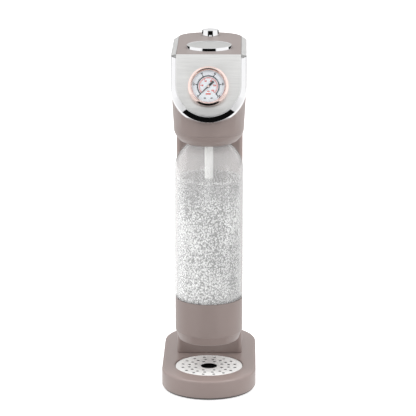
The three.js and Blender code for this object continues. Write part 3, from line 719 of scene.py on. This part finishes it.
def build_head_shell():
    shell = head_body("head_cover", 0, HEAD_LOW.z, HEAD_HIGH.z, -1, edge=0.7)
    hollow = head_body("hollow", WALL, HEAD_LOW.z - 5, HEAD_HIGH.z + 5, 5)
    cut(shell, ahead_of_plane(-HOOD_BACK - 0.3), hollow)
    finish(shell, TAUPE, "stand", ["head_shell"], sharp=40)


def build_bowl():
    low, high = span("head_bowl")
    top = high.z
    lip = low.z
    bowl = revolve("neck_bowl", [
        (29.2, lip + 0.4, 0.3), (30.6, lip, 0.8), (36.4, lip + 2.9, 6), (41.2, lip + 8, 7),
        (43.8, lip + 13.0, 5), (44.0, top + 0.25), (40, top + 0.25), (37.6, lip + 9.6, 5),
        (33.5, lip + 5.4, 5), (29.2, lip + 2.2, 0.3)], BOTTLE_AXIS, 160)
    depth = HEAD_HIGH.y - REAR_ROUND_Y
    lid = loft("bowl_lid", [(z, head_plan(HEAD_LOW_HALF - 0.3 - inset, depth))
                            for z, inset in ((top - 2.3, 0.9), (top - 1.8, 0.5), (top + 0.25, 0.4))])
    behind = block("behind", -100, 100, COLUMN_LOW.y - 0.3, 300, 0, 500)
    before = block("before", -100, 100, -300, BOTTLE_AXIS.y, 0, 500)
    cut(lid, behind, before)
    mouth = plug("mouth", 24, lip - 5, top + 5, BOTTLE_AXIS, 96)
    bowl = cut(joined(bowl, lid), mouth)
    finish(bowl, TAUPE, "stand", ["head_bowl"], sharp=40)


def u_path(half):
    """Points down one side of a U, round its half circle and up the other side, with outward normals."""
    side = 6
    points = []
    for k in range(side):
        points.append(((-half, U_SIDE * (1 - k / side)), (-1, 0)))
    for k in range(ROUND_STEPS + 1):
        angle = math.pi + math.pi * k / ROUND_STEPS
        points.append(((half * math.cos(angle), half * math.sin(angle)), (math.cos(angle), math.sin(angle))))
    for k in range(1, side + 1):
        points.append(((half, U_SIDE * k / side), (1, 0)))
    return points


def build_hood():
    """The bevelled band: one profile of (outward, out of the plane) swept round the U, then trimmed flat."""
    front = 1.9
    wall = 2.7
    lip = 0.8
    rise = HOOD_HALF - PLATE_HALF
    profile = fillet([
        (lip, -front, 0.3), (rise - HOOD_BREAK_INSET, -HOOD_BREAK_DEPTH, 1.6), (rise - 0.1, -HOOD_LAND, 0.5),
        (rise, -HOOD_BACK + 0.5, 0.3), (rise - 0.4, -HOOD_BACK, 0.2), (rise - wall, -HOOD_BACK, 0.3),
        (lip - wall, -front, 0.3)], True)
    path = u_path(PLATE_HALF)
    verts = [(p[0] + n[0] * out, p[1] + n[1] * out, z) for p, n in path for out, z in profile]
    hood = mesh_object("hood_band", verts, tube_faces(len(path), len(profile)), PLATE)
    cut(hood, above(HEAD_HIGH.z))
    finish(hood, CHROME, "stand", ["chrome_hood"], sharp=28)


def build_front_plate():
    thickness = 1.6
    edges = rounded_edges(-thickness, 0, 0.35, 0.35, 3)
    plate = loft("nose_plate", [(z, hood_plan(PLATE_HALF - inset)) for z, inset in edges], PLATE)
    hole = plug("gauge_hole", 21.9, -9, 9, (0, 0), 96, GAUGE)
    bevelled(cut(plate, above(span("front_plate")[1].z), hole), 0.7, 4, angle=50)
    finish(plate, PLATE_STEEL, "stand", ["front_plate"], sharp=28)


def build_top_plate():
    low, high = TOP_LOW.z, TOP_HIGH.z
    depth = TOP_HIGH.y - REAR_ROUND_Y
    outlines = ((low, HEAD_HALF, 0), (low + 0.4, HEAD_HALF, 0), (high - 1.2, TOP_HALF + 1.3, 2.2),
                (high - 0.45, TOP_HALF + 0.3, 3.2), (high - 0.1, TOP_HALF - 0.5, 4),
                (high, TOP_HALF - 1.4, 4.9))
    plate = loft("head_top", [(z, head_plan(half, depth - inset)) for z, half, inset in outlines])
    nose = block("nose", -TOP_HALF, TOP_HALF, -120, REAR_ROUND_Y, low, high)
    cut(plate, block("front_half", -100, 100, -300, REAR_ROUND_Y + 0.3, 0, 600))
    nose_end = block("nose_end", -TOP_HALF, TOP_HALF, REAR_ROUND_Y - 1, REAR_ROUND_Y + 0.6, low, high)
    joined(plate, joined(nose, nose_end))
    edge = 0.3
    holes = []
    for half, axis in ((BUTTON_HALF + 0.3, BUTTON_AXIS), (KNOB_HALF + 0.4, KNOB_AXIS)):
        holes.append(revolve("hole", [
            (0, low - 9), (half, low - 9), (half, high - edge), (half + edge, high + 0.02),
            (half + edge, high + 9), (0, high + 9)], axis, 128))
    cut(plate, ahead_of_plane(-1.9), *holes)
    finish(plate, TAUPE, "stand", ["top_plate"], sharp=28)


def build_shoulders():
    """The CAD bars are right as they are: a fine edge and the brushed finish are all they need."""
    for side in ("left", "right"):
        bar = NODES[f"shoulder_{side}"]
        edge = bar.modifiers.new("edge", "BEVEL")
        edge.width = 0.35 * MM
        edge.segments = 3
        edge.limit_method = "ANGLE"
        edge.angle_limit = math.radians(20)


# ---- button and knob
BUTTON_HALF = radius_of("button_cap")
KNOB_HALF = radius_of("release_knob")


def build_button():
    low, _ = span("button_cap")
    top = span("button_face")[1].z
    half = BUTTON_HALF
    cap = revolve("button_ring", [
        (0, top - 4), (half - 2.2, top - 4, 0.5), (half - 2.2, low.z, 0.3), (half, low.z, 0.3),
        (half, TOP_Z - 0.2, 0.1), (half - 0.65, top - 0.05, 0.35), (half - 1.5, top - 0.05, 0.2),
        (half - 1.5, top - 1.4), (0, top - 1.4)], BUTTON_AXIS, 160)
    finish(cap, CHROME, "push_button", ["button_cap"], sharp=40)
    inlay = half - 1.6
    face = revolve("button_inlay", [
        (0, top - 1.1), (inlay, top - 1.1, 0.2), (inlay, top - 0.35, 0.25), (0, top)], BUTTON_AXIS, 160)
    finish(face, button_face_finish(), "push_button", ["button_face"], sharp=40)


def build_knob():
    low, high = span("release_knob")
    half = KNOB_HALF
    knob = revolve("release_cap", [
        (0, high.z - 4), (half - 2.6, high.z - 4, 0.4), (half - 2.6, low.z, 0.3), (half, low.z, 0.3),
        (half, TOP_Z - 0.2, 0.1), (half - 0.7, high.z, 0.6), (half - 2.0, high.z, 0.3),
        (half - 2.4, high.z - 0.4, 0.2), (0, high.z - 0.3)], KNOB_AXIS, 96)
    finish(knob, CHROME, "vent_button", ["release_knob"], sharp=40)


def build_spring(name, node, axis, wire, turns):
    """A round-wire coil that stands on its fixed lower end."""
    low, high = span(node)
    reach = radius_of(node) - wire
    steps = 24
    sides = 10
    count = turns * steps
    verts = []
    for i in range(count + 1):
        angle = TAU * i / steps
        z = low.z + wire + (high.z - low.z - 2 * wire) * i / count
        for k in range(sides):
            turn = TAU * k / sides
            out = reach + wire * math.cos(turn)
            x = axis.x + out * math.cos(angle)
            y = axis.y + out * math.sin(angle)
            verts.append((x, y, z + wire * math.sin(turn)))
    coil = mesh_object(name, verts, tube_faces(count + 1, sides))
    finish(coil, PLATED, "stand", [node], sharp=60)
    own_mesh(coil)


# ---- pressure gauge
DIAL_Z = 4.0
BLACK_SCALE = 13.1
RED_SCALE = 11.4
INK_Z = (DIAL_Z - 0.02, DIAL_Z + 0.06)
SCALE_START = math.radians(225)
SCALE_SWEEP = math.radians(270)


def scale_angle(share):
    return SCALE_START - SCALE_SWEEP * share


def mark(inner, outer, share, width):
    """A thin raised tick on the dial, along the radius at that share of the scale."""
    angle = scale_angle(share)
    out = Vector((math.cos(angle), math.sin(angle)))
    side = Vector((-out.y, out.x)) * width / 2
    corners = [out * inner - side, out * outer - side, out * outer + side, out * inner + side]
    return loft("tick", [(z, [tuple(c) for c in corners]) for z in INK_Z], GAUGE)


def scale_ring(radius, width):
    """The printed arc of a scale, from its first tick to its last."""
    steps = 96
    angles = [scale_angle(k / steps) for k in range(steps + 1)]
    outer = [((radius + width) * math.cos(a), (radius + width) * math.sin(a)) for a in angles]
    inner = [(radius * math.cos(a), radius * math.sin(a)) for a in reversed(angles)]
    return loft("ring", [(z, outer + inner) for z in INK_Z], GAUGE)


def numeral(text, radius, share, size):
    angle = scale_angle(share)
    curve = bpy.data.curves.new("numeral", "FONT")
    curve.body = text
    curve.size = size
    curve.extrude = 0.03
    curve.offset = 0.17
    curve.align_x = "CENTER"
    curve.align_y = "CENTER"
    curve.resolution_u = 3
    source = new_object("numeral", curve)
    graph = bpy.context.evaluated_depsgraph_get()
    mesh = bpy.data.meshes.new_from_object(source.evaluated_get(graph))
    bpy.data.objects.remove(source)
    place = Matrix.Translation((radius * math.cos(angle), radius * math.sin(angle), DIAL_Z + 0.03))
    mesh.transform(Matrix.Scale(MM, 4) @ GAUGE @ place)
    return new_object("numeral", mesh)


def build_dial_print():
    black = [scale_ring(BLACK_SCALE - 0.4, 1.2)]
    major = 5
    for k in range(major * 10 + 1):
        share = k / (major * 10)
        whole = k % 10 == 0
        half = k % 5 == 0
        length = 3.2 if whole else (2.0 if half else 1.5)
        black.append(mark(BLACK_SCALE, BLACK_SCALE + length, share, 1.1 if whole else 0.45))
    black += [numeral(str(2 * k), BLACK_SCALE + 5.0, k / major, 4.3) for k in range(major + 1)]
    printed = merged("dial_black_print", black)
    finish(printed, ink("black_ink", (0.06, 0.06, 0.08)), "stand", sharp=30)

    red = [scale_ring(RED_SCALE - 0.1, 0.55)]
    for k in range(31):
        whole = k % 6 == 0
        red.append(mark(RED_SCALE - (2.4 if whole else 1.5), RED_SCALE, k / 30, 0.75 if whole else 0.5))
    red += [numeral(str(30 * k), RED_SCALE - 3.9, k / 5, 2.6) for k in range(6)]
    red += [dash(-9.6, 0, 6.4, 1.7), dash(-6.2, 0, 3.2, 1.2)]
    printed = merged("dial_red_print", red)
    finish(printed, ink("red_ink", (0.86, 0.30, 0.24)), "stand", sharp=30)
    small = merged("dial_small_print", [dash(-14.9, -4.1, 2.6, 1.5), dash(-14.9, 4.1, 2.6, 1.5)])
    finish(small, ink("grey_ink", (0.30, 0.30, 0.32)), "stand", sharp=30)


def dash(y, x, width, height):
    """A short printed bar that stands in for a word on the dial."""
    corners = [(x - width / 2, y - height / 2), (x + width / 2, y - height / 2),
               (x + width / 2, y + height / 2), (x - width / 2, y + height / 2)]
    return loft("dash", [(z, corners) for z in INK_Z], GAUGE)


def build_gauge():
    half = 25.35
    proud = 9.0
    window = 20.3
    bezel = revolve("gauge_rim", [
        (22.9, 0.3), (half - 0.5, 0.3, 0.3), (half, 1.2, 0.5), (half, proud - 2.4, 1.6),
        (half - 2.4, proud, 1.6), (window + 1.8, proud, 1.2), (window, proud - 2.2, 0.8),
        (window, proud - 2.9, 0.2), (22.9, proud - 2.9)], (0, 0), 160, GAUGE)
    finish(bezel, COPPER, "stand", ["gauge_bezel"], sharp=40)

    case = revolve("gauge_can", [
        (0, -22), (21.6, -22, 2), (21.6, 0.4), (22.5, 0.4), (22.5, 2.9), (19.6, 2.9), (19.6, -20, 1.5),
        (0, -20)], (0, 0), 96, GAUGE)
    finish(case, BLACK, "stand", ["gauge_case"])

    dial = revolve("dial_plate", [(1.2, 3.2), (22.5, 3.2), (22.5, DIAL_Z), (1.2, DIAL_Z)], (0, 0), 128, GAUGE)
    finish(dial, dial_finish(), "stand", ["gauge_dial"])
    build_dial_print()

    lens = revolve("gauge_window", [(0, 5.9), (22.3, 5.9), (22.3, 6.0, 0.05), (14, 6.7, 30), (0, 7.0)],
                   (0, 0), 96, GAUGE)
    finish(lens, lens_finish(), "stand", ["gauge_lens"], sharp=60)

    needle_outline = [(-12.6, -0.34), (-0.6, -0.72), (1.4, -0.72), (2.4, -1.35), (9.2, -1.35), (9.2, 1.35),
                      (2.4, 1.35), (1.4, 0.72), (-0.6, 0.72), (-12.6, 0.34)]
    turn = Matrix.Rotation(math.radians(45), 4, "Z")
    needle = loft("needle_blade", [(z, needle_outline) for z in (4.5, 4.9)], GAUGE @ turn)
    boss = plug("boss", 1.7, 4.45, 4.95, (0, 0), 32, GAUGE)
    needle = cut(joined(needle, boss), plug("eye", 0.8, 4, 6, (0, 0), 24, GAUGE))
    finish(bevelled(needle, 0.06, 2), ink("needle_black", (0.06, 0.06, 0.07)), "needle", ["pointer"])
    hub = revolve("needle_hub", [
        (0, 2.4), (0.6, 2.4), (0.6, 5.1), (1.5, 5.15, 0.1), (1.4, 5.6, 0.25), (0, 5.75)], (0, 0), 48, GAUGE)
    finish(hub, COPPER, "needle", ["pointer_hub"])


# ---- bottle, water and gas
BOTTLE_LOW, BOTTLE_HIGH = span("bottle_body")
BOTTLE_HALF = radius_of("bottle_body")
CUP_LOW, CUP_HIGH = span("bottle_cup")
WATER_Z = 279.0
WATER_HALF = 40.4
BOTTLE_WALL = 2.0
RISING_BUBBLES = 2300
FROTH_BUBBLES = 320

# The dome's outside, from the straight wall to the neck.
DOME = ((BOTTLE_HALF, 292.5), (42.8, 301), (39.2, 309.5), (33.4, 317.3), (26.6, 323.9), (21.4, 331),
        (19.4, 337))


def smooth_curve(points, steps):
    """Catmull-Rom through the points, so that a shoulder given by a few points runs round."""
    padded = [points[0], *points, points[-1]]
    out = []
    for i in range(1, len(padded) - 2):
        a, b, c, d = (Vector(p) for p in padded[i - 1:i + 3])
        for k in range(steps):
            t = k / steps
            out.append(tuple(0.5 * ((2 * b) + (c - a) * t + (2 * a - 5 * b + 4 * c - d) * t * t
                                    + (3 * b - a - 3 * c + d) * t ** 3)))
    out.append(tuple(points[-1]))
    return out


DOME_CURVE = smooth_curve(DOME, 6)


def build_bottle():
    top = BOTTLE_HIGH.z
    base = BOTTLE_LOW.z
    cup = CUP_HIGH.z
    held_half = 41.7
    wall = BOTTLE_WALL
    threads = [(19, 342), (19, 342.8), (20.4, 343.4), (20.4, 344.9), (19, 345.5)]
    outer = [(0, base + 1.5), (20, base), (36, base, 3), (held_half, base + 6, 3),
             (held_half, cup - 0.3, 0.5), (BOTTLE_HALF, cup + 1.6, 1.2), *DOME_CURVE, (19.1, 339),
             *threads, (19, top, 0.5)]
    inside = [(r - wall, z - wall / 2) for r, z in reversed(DOME_CURVE)]
    inner = [(15.6, top, 0.5), (15.6, 338), *inside, (BOTTLE_HALF - wall, cup + 2.8, 1),
             (held_half - wall, cup + 0.8, 1), (held_half - wall, base + 7, 3), (35.2, base + wall, 2),
             (0, base + wall + 1.5)]
    shell = revolve("bottle_clear", outer + inner, BOTTLE_AXIS, 160)
    finish(shell, bottle_finish(), "bottle", ["bottle_body"], sharp=60)

    cup_half = radius_of("bottle_cup")
    foot = CUP_LOW.z
    sleeve = revolve("bottle_sleeve", [
        (0, foot + 1.2), (30, foot + 1.2, 0.5), (31.5, foot, 0.8), (38.6, foot, 2.5),
        (42.6, foot + 11.6, 2.0), (cup_half, foot + 12.6, 0.6), (cup_half, cup, 0.5), (42.1, cup, 0.4),
        (42.1, foot + 9.8, 3), (36.2, foot + 3.6, 2), (0, foot + 3.6)], BOTTLE_AXIS, 160)
    finish(sleeve, TAUPE, "bottle", ["bottle_cup"], sharp=34)


def build_water():
    base = BOTTLE_LOW.z + 4.2
    cup = CUP_HIGH.z
    tube_end = span("nozzle_tube")[0].z
    tip_end = span("nozzle_tip")[0].z
    body = revolve("sparkling_water", [
        (0, base), (33, base, 3), (39.2, base + 6, 3), (39.2, cup + 0.5, 1), (WATER_HALF, cup + 6, 1),
        (WATER_HALF, WATER_Z - 1.5, 1.0), (WATER_HALF - 1, WATER_Z + 0.4, 0.6), (7.5, WATER_Z, 1.0),
        (6.4, WATER_Z - 1, 0.8), (6.4, tube_end - 0.6), (4.6, tube_end - 1), (4.6, tip_end - 1, 0.5),
        (0, tip_end - 1)], BOTTLE_AXIS, 128)
    finish(body, water_finish(), "bottle", sharp=50)


def ball_template(detail):
    bm = bmesh.new()
    bmesh.ops.create_icosphere(bm, subdivisions=detail, radius=1)
    verts = [v.co.copy() for v in bm.verts]
    faces = [tuple(v.index for v in f.verts) for f in bm.faces]
    bm.free()
    return verts, faces


def bubble_places(dice):
    """Where gas gathers: against the wall and through the depth, then in the froth at the surface."""
    low = CUP_HIGH.z + 1.5
    for _ in range(RISING_BUBBLES):
        size = 0.34 + 0.85 * dice.random() ** 2.5
        yield WATER_HALF + 1.0 - size - 3.0 * dice.random() ** 2, dice.uniform(low, WATER_Z - 1), size
    for _ in range(FROTH_BUBBLES):
        reach = WATER_HALF - 9 * dice.random() ** 2.2
        yield reach, WATER_Z + dice.uniform(-0.6, 1.5), dice.uniform(0.35, 0.9)


def build_bubbles():
    dice = random.Random(11)
    templates = {detail: ball_template(detail) for detail in (1, 2)}
    verts = []
    faces = []
    for reach, z, size in bubble_places(dice):
        angle = dice.uniform(0, TAU)
        centre = Vector((BOTTLE_AXIS.x + reach * math.cos(angle), BOTTLE_AXIS.y + reach * math.sin(angle), z))
        ball_verts, ball_faces = templates[2 if size > 0.75 else 1]
        first = len(verts)
        verts += [(centre + v * size) * MM for v in ball_verts]
        faces += [tuple(first + i for i in face) for face in ball_faces]
    mesh = bpy.data.meshes.new("gas_bubbles")
    mesh.from_pydata(verts, [], faces)
    bubbles = new_object("gas_bubbles", mesh)
    finish(bubbles, bubble_finish(), "bottle", sharp=180)


def build_nozzle():
    low, high = span("nozzle_tube")
    shoulder = low.z
    tube = revolve("gas_tube", [
        (4.3, shoulder, 0.2), (4.9, shoulder, 0.3), (5.5, shoulder + 1.2, 0.6), (5.5, high.z - 3),
        (10.2, high.z - 3, 0.3), (10.2, high.z, 0.3), (1.5, high.z), (1.5, shoulder + 7.5),
        (4.3, shoulder + 7.5)], BOTTLE_AXIS, 64)
    finish(tube, WHITE, "stand", ["nozzle_tube"])
    low, high = span("nozzle_tip")
    tip = revolve("gas_tip", [
        (1.0, low.z, 0.2), (2.8, low.z, 0.5), (4, low.z + 2, 0.8), (4, high.z, 0.3), (1, high.z)],
        BOTTLE_AXIS, 48)
    finish(tip, WHITE, "stand", ["nozzle_tip"])


# ---- what stays as CAD made it
INNER_FINISH = (
    (PLATED, ("chassis", "lever_pin", "lever_bracket", "press_lever", "valve_plunger", "lock_ring")),
    (DARK, ("cylinder_cradle", "button_guide", "button_stem", "knob_stem")),
    (BRASS, ("valve_block", "safety_valve", "gauge_stem", "bourdon_tube")),
    (WHITE, ("carbonation_block", "vent_valve")),
    (RUBBER, ("neck_gasket", "gas_hose", "gauge_hose", "vent_hose")),
    (SHOULDER_STEEL, ("shoulder_left", "shoulder_right")),
)


def finish_cad_nodes():
    for material, nodes in INNER_FINISH:
        for node in nodes:
            mesh = NODES[node].data
            mesh.materials.clear()
            mesh.materials.append(material)


# ---- studio
def studio_floor():
    """White, and lit from within so that the camera sees it blend into the white room."""
    bpy.ops.mesh.primitive_plane_add(size=12, location=(0, 0, 0))
    floor = bpy.context.object
    floor.name = "studio_floor"
    made = Finish("studio_white", (0.97, 0.97, 0.97), 0.9)
    made.vary_colour(made.noise(3), 0.004)
    made.bsdf.inputs["Emission Color"].default_value = (1, 1, 1, 1)
    seen = made.node("ShaderNodeLightPath").outputs["Is Camera Ray"]
    made.set("Emission Strength", made.math("MULTIPLY_ADD", seen, 0.56, 0.05))
    floor.data.materials.append(made.material)
    floor.visible_glossy = False


def soft_light(name, place, target, size, power, only_on, gloss_only=False):
    """A rectangle of light in metres and watts that falls on the named pieces only."""
    light = bpy.data.lights.new(name, "AREA")
    light.shape = "RECTANGLE"
    light.size, light.size_y = size
    light.energy = power
    made = new_object(name, light)
    made.location = place
    made.rotation_euler = (Vector(target) - Vector(place)).to_track_quat("-Z", "Y").to_euler()
    made.visible_diffuse = not gloss_only
    lit = bpy.data.collections.new(name)
    for piece in only_on:
        lit.objects.link(bpy.data.objects[piece])
    made.light_linking.receiver_collection = lit


def studio_lights():
    bottle = ("bottle_clear", "sparkling_water", "gas_bubbles", "gas_tube", "gas_tip")
    middle_of_bottle = (0, -0.05, 0.24)
    soft_light("bottle_fill", (-0.35, -1.5, 0.45), middle_of_bottle, (1.0, 1.0), 9.5, bottle)
    soft_light("bottle_strip", (-0.98, 0.30, 0.25), middle_of_bottle, (0.9, 1.3), 10, bottle, gloss_only=True)
    soft_light("bottle_edge", (0.95, -0.50, 0.1), middle_of_bottle, (0.30, 1.2), 3, bottle, gloss_only=True)
    for side, name in ((-1, "tray_left"), (1, "tray_right")):
        soft_light(name, (side * 0.78, -0.40, 1.26), (0, -0.03, 0.03), (0.5, 0.5), 5.5,
                   ("base_body", "column_front", "grille_disc"))


class Room(Nodes):
    """The world's node tree: brightness by compass direction and height."""

    def __init__(self):
        world = bpy.data.worlds.new("studio")
        bpy.context.scene.world = world
        world.use_nodes = True
        super().__init__(world.node_tree)
        self.tree.nodes.clear()

    def mix(self, fac, first, second):
        made = self.node("ShaderNodeMix", data_type="RGBA")
        self.feed((made.inputs["Factor"], made.inputs[6], made.inputs[7]), (fac, first, second))
        return made.outputs[2]

    def step(self, fac, start, end):
        return self.ramp(fac, [(0.0, 0.0), (start, 0.0), (end, 1.0), (1.0, 1.0)])

    def between(self, fac, low, high):
        return self.math("MULTIPLY", self.math("GREATER_THAN", fac, low), self.math("LESS_THAN", fac, high))

    def background(self, colour, strength):
        made = self.node("ShaderNodeBackground", Strength=strength)
        self.feed(made.inputs, (colour,))
        return made.outputs["Background"]

    def either(self, fac, first, second):
        made = self.node("ShaderNodeMixShader")
        self.feed(made.inputs, (fac, first, second))
        return made.outputs["Shader"]


# Black panels that chrome mirrors: (turn from, turn to, height from, height to), both running 0 to 1.
DARK_PANELS = ((-1, 0.19, 0.44, 0.65), (0.645, 2, 0.43, 0.5425), (-1, 0.5, -1, 0.200))


def studio_world():
    """A white room that is dimmer in front, and whose mirror image has dark panels low down for chrome."""
    room = Room()
    split = room.node("ShaderNodeSeparateXYZ")
    room.link(room.node("ShaderNodeTexCoord").outputs["Generated"], split.inputs["Vector"])
    around = room.math("ARCTAN2", split.outputs["X"], room.math("MULTIPLY", split.outputs["Y"], -1.0))
    turn = room.math("DIVIDE", room.math("ABSOLUTE", around), math.pi)
    height = room.math("MULTIPLY_ADD", split.outputs["Z"], 0.5, 0.5)

    upper = room.ramp(turn, [(0.0, 0.74), (0.18, 0.74), (0.24, 1.0), (0.80, 1.0), (0.88, 0.76), (1.0, 0.76)])
    low = room.ramp(turn, [(0.0, 0.35), (0.12, 0.35), (0.22, 0.95), (0.45, 0.7), (0.55, 1.0), (1.0, 1.0)])
    mirror = room.mix(room.step(height, 0.395, 0.405), low, upper)
    dark = (0.004, 0.004, 0.004, 1)
    for nearest, furthest, floor, ceiling in DARK_PANELS:
        across = room.between(turn, nearest, furthest)
        panel = room.math("MULTIPLY", across, room.between(height, floor, ceiling))
        mirror = room.mix(panel, mirror, dark)

    level = room.ramp(turn, [(0.0, 0.21), (0.16, 0.25), (0.40, 0.40), (0.75, 0.44), (1.0, 0.42)])
    raised = room.ramp(turn, [(0.0, 0.36), (0.14, 0.42), (0.32, 0.86), (0.56, 0.86), (0.75, 0.62),
                              (1.0, 0.6)])
    for band in (level, raised):
        band.node.color_ramp.interpolation = "EASE"
    soft = room.mix(room.step(height, 0.54, 0.62), level, raised)
    soft = room.mix(room.step(height, 0.82, 0.92), soft, (0.59, 0.59, 0.59, 1))

    path = room.node("ShaderNodeLightPath").outputs
    lit = room.either(path["Is Glossy Ray"], room.background(soft, 1.78), room.background(mirror, 1.12))
    seen = room.either(path["Is Camera Ray"], lit, room.background((1, 1, 1, 1), 1.0))
    room.link(seen, room.node("ShaderNodeOutputWorld").inputs["Surface"])


def camera():
    """A long lens from in front and above, a hair to the right of the middle."""
    data = bpy.data.cameras.new("camera")
    data.lens = 184.4
    data.sensor_width = 36.0
    made = new_object("camera", data)
    made.location = (0.045, -2.705, 0.9205)
    target = Vector((-0.0012, -0.052, 0.2383))
    made.rotation_euler = (target - made.location).to_track_quat("-Z", "Y").to_euler()
    bpy.context.scene.camera = made


# ---- assembly
camera()
studio_floor()
studio_world()
finish_cad_nodes()
build_base()
build_feet_and_screws()
build_drip_tray()
build_column()
build_gas_cylinder()
build_head_shell()
build_bowl()
build_hood()
build_front_plate()
build_top_plate()
build_shoulders()
build_button()
build_knob()
build_spring("press_spring", "button_spring", BUTTON_AXIS, 0.8, 6)
build_spring("vent_spring", "knob_spring", KNOB_AXIS, 0.6, 6)
build_gauge()
build_bottle()
build_water()
build_bubbles()
build_nozzle()
studio_lights()

bpy.context.scene.view_settings.view_transform = "Standard"
bpy.context.scene.cycles.use_denoising = True
